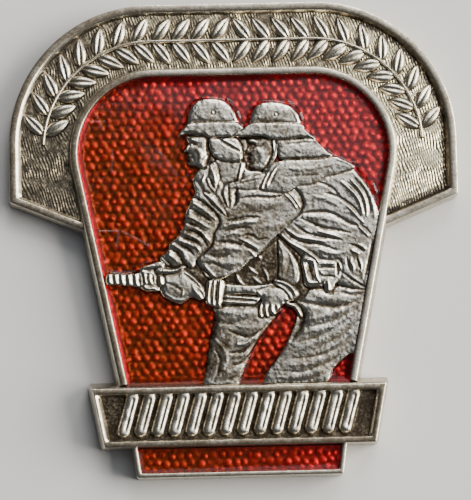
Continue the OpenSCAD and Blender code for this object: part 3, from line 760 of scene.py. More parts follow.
# Each part is laid over the ones before it: name, height in its middle, drop at its edge,
# width of the rounded edge, outline, and strokes drawn on it.
# A stroke is: half width, height (below zero for a groove), points.
PARTS = [
    ("right_skirt", 0.86, 0.22, 2.2,
     [(5.3, 16.4), (8.0, 16.6), (12.4, 17.0), (12.3, 14.0), (11.4, 10.6), (10.4, 10.6), (9.9, 10.55),
      (9.1, 9.95), (8.3, 9.2), (7.4, 8.0), (2.1, 7.6), (2.2, 8.4), (2.6, 9.3), (3.2, 10.1), (3.9, 11.0),
      (4.5, 12.1), (5.0, 13.2), (5.25, 14.2), (5.0, 14.9), (4.9, 15.6)],
     [(0.24, -0.10, [(5.6, 15.3), (7.1, 15.0), (8.6, 14.8), (9.9, 15.0), (10.9, 15.4)]),
      (0.40, 0.07, [(7.0, 15.9), (8.8, 15.5), (10.8, 16.2)]),
      (0.16, -0.08, [(9.2, 16.1), (10.2, 15.8), (11.3, 16.0)]),
      (0.30, 0.07, [(5.8, 13.6), (7.4, 13.9), (8.9, 14.35), (11.0, 15.3)]),
      (0.16, -0.04, [(6.2, 13.0), (8.0, 13.4), (9.6, 14.1), (11.2, 14.9)]),
      (0.24, 0.05, [(5.4, 12.5), (8.0, 13.0), (9.6, 13.8), (11.0, 14.7)]),
      (0.16, -0.05, [(5.2, 11.7), (7.2, 12.2), (9.0, 13.1), (10.9, 14.4)]),
      (0.30, 0.06, [(5.2, 10.95), (7.2, 11.8), (8.9, 12.85), (10.9, 14.2)]),
      (0.13, -0.06, [(6.6, 10.9), (8.3, 11.8), (9.9, 12.9), (10.9, 13.6)]),
      (0.20, 0.06, [(7.4, 10.75), (8.8, 11.5), (10.0, 12.4), (10.9, 13.1)]),
      (0.14, -0.05, [(4.6, 10.3), (6.4, 10.4), (8.2, 10.9), (9.8, 12.0)]),
      (0.26, 0.05, [(4.4, 9.7), (6.2, 9.8), (8.0, 10.4), (9.6, 11.3)]),
      (0.14, -0.05, [(3.8, 9.2), (5.6, 9.1), (7.4, 9.7), (9.0, 10.5)]),
      (0.26, 0.05, [(3.4, 8.7), (5.0, 8.6), (6.8, 9.0), (8.2, 9.7)]),
      (0.14, -0.04, [(4.6, 8.2), (6.0, 8.4), (7.4, 8.9)]),
      (0.40, -0.14, [(5.5, 15.0), (5.8, 14.0), (5.5, 13.0), (4.8, 12.0)])]),
    ("left_leg", 0.80, 0.20, 1.6,
     [(-2.0, 15.2), (0.0, 15.4), (2.2, 15.2), (3.9, 14.9), (3.4, 14.0), (2.5, 12.9), (1.6, 11.7),
      (0.95, 10.5), (0.45, 9.3), (0.05, 8.3), (0.0, 7.6), (-3.0, 7.6), (-2.85, 9.4), (-2.55, 11.4),
      (-2.2, 13.2), (-1.98, 14.4)],
     [(0.34, 0.06, [(-1.2, 14.5), (0.2, 14.3), (1.9, 14.6)]),
      (0.20, -0.05, [(-1.7, 13.7), (-0.4, 13.5), (0.9, 13.9)]),
      (0.26, 0.06, [(2.6, 13.6), (1.5, 13.1), (0.2, 13.2)]),
      (0.16, -0.08, [(2.1, 12.9), (1.3, 12.4), (0.4, 12.4), (-0.8, 12.9)]),
      (0.20, 0.10, [(1.9, 12.6), (1.3, 12.1), (0.7, 11.7), (0.0, 11.6)]),
      (0.14, -0.09, [(1.5, 12.0), (0.9, 11.4), (0.2, 11.0), (-0.8, 10.9)]),
      (0.20, 0.07, [(1.2, 11.3), (0.6, 10.8), (-0.3, 10.5)]),
      (0.18, 0.05, [(-2.2, 12.3), (-1.4, 11.5), (-1.0, 10.5), (-1.3, 9.4)]),
      (0.14, -0.06, [(-2.0, 11.2), (-1.6, 10.4), (-1.8, 9.2), (-2.2, 8.4)]),
      (0.14, -0.07, [(0.9, 10.5), (0.2, 10.0), (-0.6, 9.8)]),
      (0.24, 0.06, [(0.6, 9.9), (-0.2, 9.4), (-1.2, 9.0)]),
      (0.14, -0.05, [(0.3, 9.1), (-0.6, 8.7), (-1.6, 8.4)]),
      (0.30, -0.12, [(-1.8, 14.4), (-2.1, 13.2), (-2.3, 12.0)])]),
    ("inner_shade", 0.70, 0.02, 0.5,
     [(-1.2, 17.3), (0.0, 18.3), (1.2, 19.6), (2.6, 20.6), (4.1, 21.4), (4.8, 20.8), (6.0, 19.2),
      (6.4, 17.0), (5.6, 15.4), (3.4, 15.6), (0.6, 15.4), (-1.6, 15.2)],
     [(0.14, 0.16, [(0.05, 17.95), (0.15, 17.5), (0.4, 17.1), (0.75, 16.85)]),
      (0.12, 0.10, [(1.15, 18.5), (1.45, 18.15), (1.9, 17.9)]),
      (0.16, 0.14, [(2.05, 19.45), (2.15, 19.2)]),
      (0.12, 0.08, [(1.5, 17.6), (1.9, 17.2), (2.3, 16.95)]),
      (0.12, 0.08, [(2.4, 18.4), (2.7, 17.8), (2.8, 17.2)])]),
    ("neck_shade", 0.72, 0.02, 0.5,
     [(-2.6, 27.2), (-2.5, 28.9), (-1.8, 29.8), (0.3, 29.9), (1.5, 30.0), (1.8, 29.0), (1.7, 27.6),
      (1.5, 26.8), (0.2, 26.2), (-1.6, 26.4)],
     []),
    ("head_right", 0.74, 0.24, 0.8,
     [(3.7, 30.2), (3.75, 29.2), (3.6, 28.3), (3.1, 27.4), (2.4, 26.9), (1.7, 26.95), (1.35, 27.25),
      (1.3, 27.55), (1.4, 27.75), (1.2, 27.95), (1.28, 28.1), (1.2, 28.25), (1.3, 28.45), (1.02, 28.6),
      (1.15, 29.0), (1.3, 29.35), (1.2, 29.7), (1.3, 30.2)],
     [(0.16, 0.10, [(1.25, 29.72), (1.7, 29.78), (2.1, 29.66)]),
      (0.15, -0.10, [(1.42, 29.4), (1.75, 29.42), (2.0, 29.34)]),
      (0.07, 0.07, [(1.5, 29.36), (1.85, 29.36)]),
      (0.14, 0.09, [(1.35, 29.2), (1.2, 28.85), (1.12, 28.66)]),
      (0.07, -0.04, [(1.3, 28.16), (1.62, 28.14)]),
      (0.30, 0.08, [(2.2, 29.0), (2.5, 28.5), (2.4, 28.0)]),
      (0.12, -0.03, [(1.45, 28.6), (1.75, 28.3), (1.82, 27.95)]),
      (0.16, 0.06, [(3.2, 28.4), (2.6, 27.5), (1.9, 27.15)])]),
    ("strap_right", 0.86, 0.08, 0.2,
     [(3.5, 29.9), (3.95, 29.9), (3.95, 29.0), (3.8, 28.2), (3.3, 27.5), (3.1, 27.7), (3.45, 28.4),
      (3.55, 29.0)],
     [(0.07, -0.10, [(3.75, 29.8), (3.72, 29.0), (3.6, 28.3)]),
      (0.07, 0.06, [(3.62, 29.7), (3.6, 29.0)]),
      (0.07, 0.06, [(3.87, 29.6), (3.85, 29.0)])]),
    ("nape_right", 0.88, 0.14, 0.5,
     [(3.9, 29.95), (5.5, 29.9), (7.1, 30.0), (7.7, 29.4), (8.4, 28.7), (8.95, 28.25), (8.7, 28.12),
      (7.6, 27.95), (6.0, 27.9), (4.3, 27.95), (3.95, 28.4), (3.9, 29.2)],
     [(0.35, 0.03, [(4.3, 28.8), (6.2, 28.9), (7.8, 28.7)]),
      (0.10, -0.04, [(4.6, 29.4), (6.4, 29.5), (7.3, 29.5)]),
      (0.09, 0.06, [(7.0, 29.95), (7.8, 29.2), (8.8, 28.35)])]),
    ("right_coat", 0.98, 0.18, 2.4,
     [(2.6, 27.0), (3.6, 27.8), (5.0, 28.0), (7.0, 28.05), (9.0, 28.2), (9.6, 27.95), (10.3, 27.5),
      (10.8, 26.95), (11.3, 26.35), (11.85, 25.6), (12.25, 24.8), (12.55, 24.0), (12.85, 23.0),
      (13.0, 22.0), (12.8, 20.0), (12.5, 18.0), (12.2, 16.4), (10.4, 16.4), (8.4, 16.9), (7.6, 16.6),
      (6.2, 16.6), (5.9, 17.4), (6.05, 18.4), (5.9, 19.2), (5.2, 20.0), (4.5, 20.7), (3.9, 21.2),
      (3.2, 21.8), (3.0, 23.0), (2.6, 24.4), (2.2, 25.4)],
     [(0.10, -0.07, [(7.4, 25.95), (8.6, 25.4), (9.3, 24.6)]),
      (0.20, 0.10, [(10.6, 26.7), (11.4, 25.8), (11.95, 24.9), (12.25, 24.0), (12.4, 22.8)]),
      (0.07, -0.09, [(10.7, 26.1), (11.4, 25.25), (11.85, 24.2), (12.0, 23.0)]),
      (0.15, 0.14, [(10.4, 26.05), (11.05, 25.3), (11.5, 24.5), (11.7, 23.6), (11.7, 22.8)]),
      (0.08, -0.10, [(10.0, 25.9), (10.7, 25.2), (11.2, 24.4), (11.5, 23.2)]),
      (0.16, 0.14, [(9.6, 25.85), (10.3, 25.2), (10.9, 24.5), (11.2, 23.8), (11.35, 23.0)]),
      (0.10, -0.14, [(8.0, 24.95), (9.1, 24.6), (9.8, 24.15), (10.7, 23.4), (11.15, 22.6)]),
      (0.13, 0.11, [(10.0, 23.75), (10.5, 23.2), (10.9, 22.75), (11.4, 22.2)]),
      (0.22, 0.05, [(7.0, 24.7), (8.2, 24.3), (9.3, 23.7)]),
      (0.14, -0.12, [(5.6, 23.0), (6.5, 23.2), (7.6, 23.25), (8.5, 23.1), (9.6, 22.5), (10.3, 22.1),
                     (11.3, 21.8), (12.0, 21.2)]),
      (0.13, 0.11, [(10.8, 22.1), (11.3, 21.55), (11.8, 21.0)]),
      (0.20, 0.05, [(6.5, 22.85), (7.8, 22.7), (9.0, 22.3)]),
      (0.12, -0.11, [(5.8, 22.7), (6.7, 22.3), (7.8, 21.8), (8.9, 21.6), (10.2, 21.3)]),
      (0.12, 0.10, [(6.1, 21.75), (6.4, 21.5), (6.8, 21.3)]),
      (0.14, 0.12, [(7.4, 21.5), (8.3, 21.25), (9.3, 20.95)]),
      (0.12, -0.12, [(5.3, 22.1), (6.0, 21.6), (7.0, 21.15), (8.1, 20.9), (9.3, 20.7)]),
      (0.14, 0.12, [(4.5, 21.8), (5.0, 21.45), (5.6, 21.05), (6.8, 20.8), (7.9, 20.6)]),
      (0.11, -0.13, [(4.5, 21.5), (5.2, 20.9), (6.2, 20.5), (7.5, 20.3), (8.9, 19.8)]),
      (0.12, 0.12, [(4.1, 21.3), (4.8, 20.6), (5.9, 19.95), (6.8, 19.4)]),
      (0.18, 0.06, [(7.4, 19.9), (8.6, 19.5), (9.6, 19.6)]),
      (0.13, 0.12, [(10.85, 20.25), (11.2, 20.1), (11.5, 19.85)]),
      (0.09, -0.14, [(10.1, 20.3), (10.6, 20.15), (10.9, 19.95), (11.3, 19.6)]),
      (0.14, 0.13, [(10.2, 19.8), (10.5, 19.65), (10.9, 19.45)]),
      (0.18, 0.07, [(12.5, 21.4), (12.3, 20.2), (12.0, 18.8), (11.7, 17.4)]),
      (0.10, -0.08, [(12.1, 20.6), (11.9, 19.6), (11.6, 18.4), (11.3, 17.2)]),
      (0.13, 0.10, [(10.2, 19.1), (10.2, 18.7), (10.4, 18.3), (10.35, 17.9)]),
      (0.10, -0.10, [(9.8, 19.2), (9.9, 18.5), (10.05, 17.9)]),
      (0.10, -0.09, [(10.7, 19.2), (10.8, 18.6), (11.0, 18.0)]),
      (0.12, 0.08, [(10.9, 19.0), (11.1, 18.4), (11.0, 17.9)]),
      (0.11, 0.08, [(10.0, 17.6), (10.5, 17.2), (11.1, 16.8)]),
      (0.10, -0.10, [(9.4, 17.8), (10.0, 17.3), (10.8, 16.8), (11.4, 16.4)]),
      (0.12, -0.14, [(8.6, 17.05), (9.2, 16.6), (10.0, 16.35), (11.5, 15.9)])]),
    ("fore_shade", 0.72, 0.02, 0.5,
     [(-8.0, 18.55), (-6.6, 19.2), (-5.0, 19.3), (-3.6, 19.6), (-2.2, 19.4), (-1.4, 17.6), (-1.6, 15.6),
      (-2.7, 15.6), (-3.6, 16.6), (-5.0, 17.6), (-7.4, 17.2)],
     []),
    ("left_coat", 0.96, 0.20, 1.8,
     [(-2.9, 27.4), (-3.3, 27.1), (-3.6, 26.6), (-3.62, 26.0), (-3.5, 25.3), (-3.85, 24.5), (-4.3, 23.6),
      (-4.4, 23.0), (-4.3, 22.7), (-4.55, 22.1), (-4.9, 21.5), (-3.6, 19.2), (-2.4, 17.5), (-1.2, 17.45),
      (-0.5, 17.85), (0.1, 18.0), (0.7, 18.5), (1.2, 19.0), (1.75, 19.3), (2.3, 19.9), (3.2, 20.8),
      (4.1, 21.6), (5.0, 22.5), (5.8, 23.2), (6.1, 24.2), (5.4, 25.4), (3.0, 26.8), (1.2, 27.2),
      (0.9, 27.9), (-0.6, 28.2), (-1.6, 28.0)],
     [(0.20, -0.17, [(0.25, 25.5), (0.1, 25.0), (0.1, 24.4), (-0.15, 23.9)]),
      (0.11, -0.11, [(0.6, 24.6), (1.8, 24.72), (3.2, 24.62), (4.2, 24.8)]),
      (0.40, 0.05, [(0.9, 24.2), (2.2, 24.0), (4.2, 24.2)]),
      (0.30, -0.05, [(0.9, 23.4), (2.2, 23.3), (3.4, 23.6)]),
      (0.13, -0.11, [(-0.7, 22.6), (0.3, 22.75), (1.2, 22.9), (2.2, 22.85)]),
      (0.20, 0.09, [(-1.2, 22.0), (-0.3, 22.3), (0.8, 22.45), (2.1, 22.5)]),
      (0.12, -0.07, [(-0.9, 21.7), (0.2, 21.95), (1.4, 21.95)]),
      (0.30, 0.06, [(2.2, 22.0), (3.2, 22.1), (4.2, 22.3)]),
      (0.16, 0.07, [(-1.1, 21.2), (-0.1, 21.5), (0.8, 21.3)]),
      (0.12, -0.08, [(0.6, 21.3), (1.4, 21.3), (2.0, 20.9), (2.7, 21.0)]),
      (0.14, -0.12, [(-1.7, 20.75), (-0.6, 20.7), (0.5, 20.5)]),
      (0.13, 0.11, [(0.4, 21.0), (1.2, 20.6), (2.0, 20.1)]),
      (0.10, -0.09, [(0.7, 20.4), (1.4, 20.05), (1.9, 19.75)]),
      (0.22, 0.07, [(-2.1, 20.1), (-0.8, 20.2), (0.5, 20.0)]),
      (0.09, 0.08, [(1.2, 20.0), (1.5, 19.65), (1.75, 19.3)]),
      (0.20, -0.10, [(-2.5, 19.6), (-1.5, 19.45), (-0.6, 19.6)]),
      (0.34, 0.08, [(-1.7, 18.9), (-0.6, 18.8), (0.4, 18.9)]),
      (0.14, -0.07, [(-2.9, 18.9), (-1.9, 18.8), (-0.9, 18.3)]),
      (0.15, 0.12, [(-1.2, 17.6), (-0.5, 17.95), (0.1, 18.1), (0.7, 18.6), (1.2, 19.1), (1.75, 19.4)]),
      (0.12, 0.13, [(1.75, 19.4), (2.4, 20.0), (3.4, 20.95), (4.4, 21.9), (5.4, 22.8)]),
      (0.07, 0.12, [(4.45, 24.95), (4.9, 24.5), (5.25, 24.05), (5.5, 23.6)]),
      (0.07, 0.12, [(4.8, 25.05), (5.2, 24.65), (5.55, 24.15), (5.85, 23.65)]),
      (0.11, 0.11, [(-3.6, 18.5), (-3.0, 18.1), (-2.5, 17.5)]),
      (0.10, -0.10, [(-3.3, 18.6), (-2.7, 18.1), (-2.2, 17.6)]),
      (0.11, 0.10, [(-2.7, 18.6), (-2.2, 18.0), (-1.8, 17.6)]),
      (0.20, -0.06, [(-3.3, 26.2), (-2.9, 25.6), (-2.7, 25.0)]),
      (0.10, 0.09, [(-2.55, 26.8), (-2.75, 26.4), (-2.95, 26.0)])]),
    ("left_nape", 0.84, 0.06, 0.5,
     [(-1.5, 28.2), (0.3, 28.1), (0.95, 27.7), (0.8, 26.8), (0.5, 26.0), (-0.7, 25.7), (-1.2, 26.2),
      (-1.4, 27.2)],
     [(0.14, 0.13, [(0.78, 27.75), (0.62, 27.2), (0.5, 26.6), (0.38, 26.1)]),
      (0.10, -0.10, [(0.98, 27.3), (0.8, 26.7), (0.66, 26.2)]),
      (0.10, -0.08, [(0.55, 27.6), (0.4, 27.0), (0.25, 26.4)])]),
    ("left_strap", 0.98, 0.06, 0.35,
     [(-0.95, 25.75), (-0.5, 25.95), (0.4, 26.2), (1.4, 26.5), (2.4, 26.75), (3.0, 26.7), (2.7, 25.9),
      (2.2, 25.45), (1.0, 25.35), (0.2, 25.5), (-0.5, 25.5)],
     [(0.09, -0.05, [(-0.4, 25.72), (0.8, 26.0), (2.3, 26.3)])]),
    ("left_sleeve", 0.92, 0.22, 1.0,
     [(-3.75, 24.75), (-3.0, 24.5), (-2.2, 23.9), (-1.5, 23.1), (-1.35, 22.4), (-1.8, 21.6), (-2.0, 20.6),
      (-2.6, 19.9), (-3.4, 19.3), (-3.8, 18.5), (-4.6, 18.7), (-5.2, 18.5), (-6.4, 18.9), (-6.7, 19.5),
      (-6.0, 20.1), (-5.85, 20.7), (-5.3, 21.15), (-4.85, 21.6), (-4.55, 22.2), (-4.45, 22.8),
      (-4.4, 23.2), (-4.2, 23.7), (-3.95, 24.3)],
     [(0.17, 0.08, [(-3.8, 24.3), (-3.2, 24.05), (-2.6, 23.6), (-2.1, 23.15), (-1.65, 22.75)]),
      (0.13, -0.12, [(-3.95, 23.75), (-3.4, 23.5), (-2.8, 23.05), (-2.2, 22.65)]),
      (0.19, -0.14, [(-3.85, 23.45), (-3.45, 23.3), (-3.1, 23.05)]),
      (0.13, 0.08, [(-4.3, 23.05), (-3.8, 22.95), (-3.2, 22.6), (-2.6, 22.2), (-2.1, 22.0)]),
      (0.12, -0.10, [(-4.3, 22.5), (-3.7, 22.3), (-3.1, 21.95), (-2.7, 21.7)]),
      (0.15, 0.10, [(-3.7, 22.15), (-3.2, 21.9), (-2.75, 21.5), (-2.4, 21.05), (-2.2, 20.7)]),
      (0.12, -0.10, [(-4.4, 21.85), (-3.8, 21.75), (-3.2, 21.4), (-2.75, 20.9), (-2.5, 20.4)]),
      (0.12, 0.07, [(-4.7, 21.6), (-4.1, 21.45), (-3.5, 21.15), (-3.0, 20.8)]),
      (0.11, -0.10, [(-4.8, 21.25), (-4.2, 21.05), (-3.5, 20.75), (-3.1, 20.4)]),
      (0.14, 0.09, [(-5.1, 21.0), (-4.4, 20.75), (-3.8, 20.5), (-3.4, 20.2), (-3.3, 19.9)]),
      (0.12, -0.12, [(-5.3, 20.7), (-4.7, 20.4), (-4.1, 20.05), (-3.75, 19.6)]),
      (0.15, 0.09, [(-5.65, 20.65), (-5.1, 20.35), (-4.6, 19.95), (-4.35, 19.5), (-4.3, 19.1)]),
      (0.13, -0.12, [(-5.9, 20.25), (-5.3, 19.9), (-4.9, 19.4), (-4.75, 19.0)]),
      (0.15, 0.07, [(-6.2, 19.85), (-5.6, 19.5), (-5.2, 19.1)]),
      (0.12, -0.10, [(-6.5, 19.5), (-6.1, 19.15), (-5.75, 18.8)]),
      (0.14, 0.09, [(-2.95, 21.7), (-2.7, 21.3), (-2.5, 20.75)]),
      (0.13, 0.09, [(-3.65, 20.75), (-3.4, 20.4), (-3.15, 19.95)]),
      (0.12, 0.09, [(-4.65, 19.8), (-4.55, 19.45), (-4.45, 19.1)])]),
    ("scarf_left", 1.0, 0.10, 0.35,
     [(-2.05, 27.75), (-1.65, 27.2), (-1.4, 26.85), (-1.35, 26.35), (-1.55, 25.7), (-1.75, 25.2),
      (-1.95, 25.3), (-2.3, 25.8), (-2.5, 26.35), (-2.3, 26.6), (-2.15, 27.1)],
     [(0.10, -0.15, [(-2.2, 26.5), (-2.0, 26.0), (-1.75, 25.5)]),
      (0.16, 0.07, [(-1.95, 27.3), (-1.75, 26.8), (-1.65, 26.1)]),
      (0.07, -0.08, [(-1.65, 27.1), (-1.55, 26.7), (-1.5, 26.3)])]),
    ("scarf_tail", 1.0, 0.08, 0.28,
     [(-2.75, 25.15), (-2.3, 25.1), (-1.95, 25.05), (-1.6, 24.75), (-1.2, 24.2), (-0.95, 23.7),
      (-0.72, 23.1), (-0.9, 23.15), (-1.4, 23.6), (-1.9, 24.1), (-2.3, 24.55)],
     [(0.16, 0.07, [(-2.4, 24.95), (-1.7, 24.2), (-0.95, 23.4)]),
      (0.06, -0.08, [(-1.9, 24.9), (-1.4, 24.3), (-1.0, 23.65)])]),
    ("lapel_left", 0.98, 0.08, 0.28,
     [(-0.6, 25.75), (-1.0, 25.6), (-1.15, 25.2), (-1.0, 24.7), (-0.75, 24.1), (-0.55, 23.75),
      (-0.5, 24.2), (-0.55, 24.8), (-0.55, 25.3)],
     [(0.12, 0.06, [(-0.85, 25.4), (-0.85, 24.8), (-0.62, 24.1)])]),
    ("head_left", 0.84, 0.26, 0.8,
     [(-2.15, 30.4), (-2.1, 29.4), (-2.15, 28.6), (-2.35, 28.0), (-2.5, 27.4), (-3.0, 27.3),
      (-3.35, 27.55), (-3.75, 27.6), (-4.0, 27.75), (-4.02, 27.95), (-3.94, 28.12), (-4.1, 28.28),
      (-4.04, 28.4), (-4.14, 28.54), (-4.06, 28.74), (-4.36, 28.86), (-4.3, 29.1), (-4.1, 29.5),
      (-4.02, 29.72), (-4.12, 29.95), (-4.1, 30.4)],
     [(0.15, 0.11, [(-4.05, 29.92), (-3.6, 29.98), (-3.25, 29.86)]),
      (0.14, -0.13, [(-3.92, 29.58), (-3.6, 29.6), (-3.3, 29.52)]),
      (0.07, 0.09, [(-3.86, 29.56), (-3.55, 29.55)]),
      (0.13, 0.10, [(-4.02, 29.45), (-4.18, 29.1), (-4.26, 28.95)]),
      (0.07, -0.05, [(-4.0, 28.4), (-3.66, 28.38)]),
      (0.28, 0.10, [(-3.2, 29.1), (-2.9, 28.7), (-2.95, 28.2)]),
      (0.12, -0.04, [(-3.9, 28.82), (-3.62, 28.52), (-3.55, 28.16)]),
      (0.14, 0.08, [(-2.35, 28.5), (-2.9, 27.85), (-3.6, 27.72)]),
      (0.12, -0.10, [(-2.4, 29.9), (-2.3, 29.2), (-2.35, 28.6)])]),
    ("nape_cloth", 1.0, 0.12, 0.4,
     [(-2.12, 30.1), (-1.4, 30.1), (0.15, 30.1), (0.5, 29.7), (0.72, 29.2), (0.72, 28.9), (0.8, 28.5),
      (0.7, 28.05), (0.3, 27.88), (-0.4, 27.92), (-0.95, 28.0), (-1.5, 28.25), (-1.9, 28.65),
      (-2.1, 29.15), (-2.15, 29.6)],
     [(0.09, -0.17, [(-1.35, 30.0), (-0.9, 29.65), (-0.3, 29.3), (0.3, 28.95), (0.75, 28.7)]),
      (0.09, 0.07, [(-0.9, 29.9), (-0.2, 29.5), (0.4, 29.1)])]),
    ("left_dome", 0.96, 0.22, 1.0,
     [(-3.6, 30.3), (-4.0, 31.2), (-4.0, 31.7), (-3.93, 32.3), (-3.72, 32.85), (-3.4, 33.3),
      (-2.95, 33.55), (-2.3, 33.67), (-1.6, 33.67), (-1.0, 33.56), (-0.5, 33.3), (-0.08, 32.9),
      (0.22, 32.4), (0.4, 31.9), (0.5, 31.4), (0.4, 30.3)],
     [(0.16, -0.04, [(-3.8, 31.62), (-3.0, 31.68), (-2.0, 31.64)]),
      (0.10, 0.07, [(-0.75, 31.95), (-0.72, 31.8)]),
      (0.15, 0.06, [(-0.2, 32.6), (0.1, 32.1), (0.25, 31.6)])]),
    ("left_brim", 1.04, 0.10, 0.3,
     [(-4.86, 30.28), (-4.82, 30.5), (-4.62, 30.8), (-4.3, 31.12), (-4.02, 31.4), (-3.0, 31.46),
      (-1.5, 31.46), (0.3, 31.44), (0.55, 31.36), (0.85, 31.08), (1.02, 30.82), (0.7, 30.55), (0.3, 30.2),
      (-0.2, 30.12), (-1.1, 30.18), (-2.2, 30.1), (-2.42, 30.32), (-3.1, 30.46), (-4.0, 30.5),
      (-4.5, 30.38)],
     [(0.08, -0.07, [(-4.5, 30.5), (-4.0, 30.62), (-3.3, 30.6)]),
      (0.07, 0.05, [(-4.75, 30.35), (-4.3, 30.55)])]),
    ("cape", 1.02, 0.10, 0.8,
     [(3.2, 27.45), (3.9, 27.85), (5.2, 27.95), (7.6, 27.98), (8.8, 28.2), (9.3, 28.15), (10.0, 27.8),
      (10.75, 27.35), (10.6, 27.02), (10.0, 26.85), (9.0, 26.55), (8.1, 26.35), (7.5, 25.95), (6.6, 25.7),
      (5.7, 25.6), (5.15, 25.2), (4.6, 25.0), (3.6, 25.1), (2.6, 25.2), (2.25, 25.5), (2.6, 26.2),
      (2.9, 26.9)],
     [(0.10, 0.13, [(2.42, 25.45), (2.7, 26.1), (3.05, 26.8)]),
      (0.07, -0.14, [(2.66, 25.5), (2.9, 26.1), (3.22, 26.8)]),
      (0.09, 0.12, [(2.88, 25.6), (3.12, 26.15), (3.45, 26.8), (3.8, 27.3), (4.3, 27.65)]),
      (0.08, -0.09, [(3.12, 25.7), (3.4, 26.3), (3.75, 26.9)]),
      (0.20, 0.04, [(4.6, 27.2), (6.6, 27.1), (8.8, 27.5)]),
      (0.12, -0.04, [(4.4, 26.4), (6.0, 26.5), (7.6, 26.6)]),
      (0.08, 0.06, [(9.2, 27.95), (10.0, 27.65), (10.65, 27.3)])]),
    ("right_dome", 1.02, 0.24, 1.0,
     [(1.4, 30.2), (1.35, 30.9), (1.5, 31.5), (1.65, 32.1), (1.88, 32.6), (2.2, 33.0), (2.65, 33.2),
      (3.3, 33.27), (4.0, 33.22), (4.8, 33.02), (5.4, 32.72), (5.8, 32.25), (6.0, 31.7), (6.1, 31.0),
      (5.9, 30.2)],
     [(0.16, -0.04, [(1.9, 31.6), (3.0, 31.5), (4.4, 31.45)]),
      (0.09, 0.07, [(2.3, 31.9), (2.4, 31.75)]),
      (0.15, 0.07, [(5.2, 32.6), (5.6, 32.1), (5.8, 31.5)])]),
    ("right_brim", 1.1, 0.10, 0.3,
     [(0.02, 30.36), (0.45, 30.66), (1.0, 30.92), (1.35, 31.24), (2.2, 31.34), (4.0, 31.3), (6.1, 31.16),
      (6.42, 30.74), (6.8, 30.32), (7.3, 29.84), (6.9, 29.92), (6.0, 29.96), (4.6, 29.84), (3.6, 29.84),
      (3.15, 29.96), (2.6, 30.16), (1.6, 30.14), (0.6, 30.1), (0.2, 30.16)],
     [(0.07, 0.06, [(6.2, 31.0), (6.7, 30.4), (7.2, 29.9)])]),
    ("forearm", 0.86, 0.06, 0.5,
     [(3.8, 20.9), (4.3, 20.4), (5.0, 19.5), (5.45, 18.6), (5.6, 17.6), (5.3, 16.9), (4.6, 17.0),
      (3.75, 17.5), (3.8, 18.6), (3.75, 19.8)],
     [(0.13, 0.05, [(4.0, 20.2), (4.25, 19.4), (4.1, 18.4)]),
      (0.16, -0.05, [(4.6, 19.7), (4.7, 18.9), (4.5, 18.0)]),
      (0.14, 0.05, [(4.9, 19.2), (5.15, 18.4), (5.2, 17.5)])]),
    ("hose", 0.96, 0.26, 0.34,
     [(-1.5, 17.05), (-0.6, 17.0), (0.8, 16.85), (2.2, 16.85), (3.4, 17.0), (3.6, 16.3), (2.2, 16.0),
      (0.4, 16.05), (-1.4, 16.1)],
     [(0.08, 0.06, [(-1.2, 16.95), (0.8, 16.75), (3.0, 16.85)])]),
    ("hose_lower", 0.92, 0.2, 0.25,
     [(-1.6, 16.05), (0.2, 15.98), (1.7, 15.85), (2.1, 15.7), (1.9, 15.3), (1.5, 15.1), (0.0, 15.15),
      (-1.5, 15.3)],
     [(0.08, 0.12, [(-1.4, 15.88), (0.2, 15.78), (1.8, 15.6)]),
      (0.07, -0.15, [(-1.4, 15.66), (0.2, 15.54), (1.7, 15.38)]),
      (0.07, 0.10, [(-1.4, 15.46), (0.2, 15.34), (1.5, 15.2)])]),
    ("cuff_left", 1.0, 0.12, 0.3,
     [(-2.55, 17.35), (-1.9, 17.42), (-1.2, 17.4), (-1.05, 17.0), (-1.15, 16.2), (-1.3, 15.4),
      (-1.5, 14.95), (-2.1, 15.0), (-2.7, 15.3), (-2.75, 16.2), (-2.65, 17.0)],
     [(0.09, 0.12, [(-2.3, 17.3), (-2.42, 16.4), (-2.58, 15.5)]),
      (0.07, -0.20, [(-2.12, 17.3), (-2.22, 16.4), (-2.35, 15.4)]),
      (0.08, 0.12, [(-1.92, 17.3), (-1.98, 16.4), (-2.08, 15.2)]),
      (0.07, -0.20, [(-1.72, 17.25), (-1.78, 16.4), (-1.88, 15.2)]),
      (0.11, 0.13, [(-1.38, 17.3), (-1.48, 16.4), (-1.6, 15.05)])]),
    ("hand_left", 0.98, 0.26, 1.1,
     [(-6.6, 17.9), (-6.2, 18.1), (-5.4, 18.1), (-4.7, 18.35), (-4.3, 18.1), (-3.7, 17.6), (-3.2, 17.05),
      (-2.8, 16.6), (-2.75, 15.9), (-3.2, 15.6), (-4.0, 15.85), (-4.4, 15.6), (-4.9, 15.32),
      (-5.45, 15.42), (-6.1, 15.75), (-6.5, 16.0), (-6.75, 16.6), (-6.8, 17.3)],
     [(0.08, 0.15, [(-4.5, 18.15), (-3.9, 17.7), (-3.45, 17.25), (-3.1, 16.9)]),
      (0.07, -0.16, [(-4.62, 17.98), (-4.0, 17.5), (-3.55, 17.1), (-3.2, 16.7)]),
      (0.09, -0.12, [(-3.5, 16.7), (-3.1, 16.2), (-2.95, 15.8)]),
      (0.10, 0.08, [(-3.9, 16.9), (-3.6, 16.4), (-3.4, 16.0)]),
      (0.14, 0.08, [(-6.3, 16.3), (-5.6, 15.75), (-4.9, 15.65)]),
      (0.12, -0.06, [(-6.2, 17.2), (-5.4, 16.9), (-4.8, 16.4)]),
      (0.09, 0.07, [(-4.7, 16.6), (-4.75, 16.2), (-4.9, 15.9)])]),
    ("nozzle", 0.9, 0.14, 0.3,
     [(-11.45, 17.2), (-11.42, 18.1), (-10.6, 18.15), (-9.6, 18.1), (-8.6, 18.2), (-7.6, 18.45),
      (-6.6, 18.3), (-6.5, 17.0), (-7.2, 16.55), (-8.0, 16.65), (-8.6, 16.85), (-9.6, 17.0), (-10.6, 17.1)],
     [(0.12, 0.10, [(-11.2, 18.0), (-11.15, 17.3)]),
      (0.08, -0.12, [(-10.94, 18.05), (-10.88, 17.25)]),
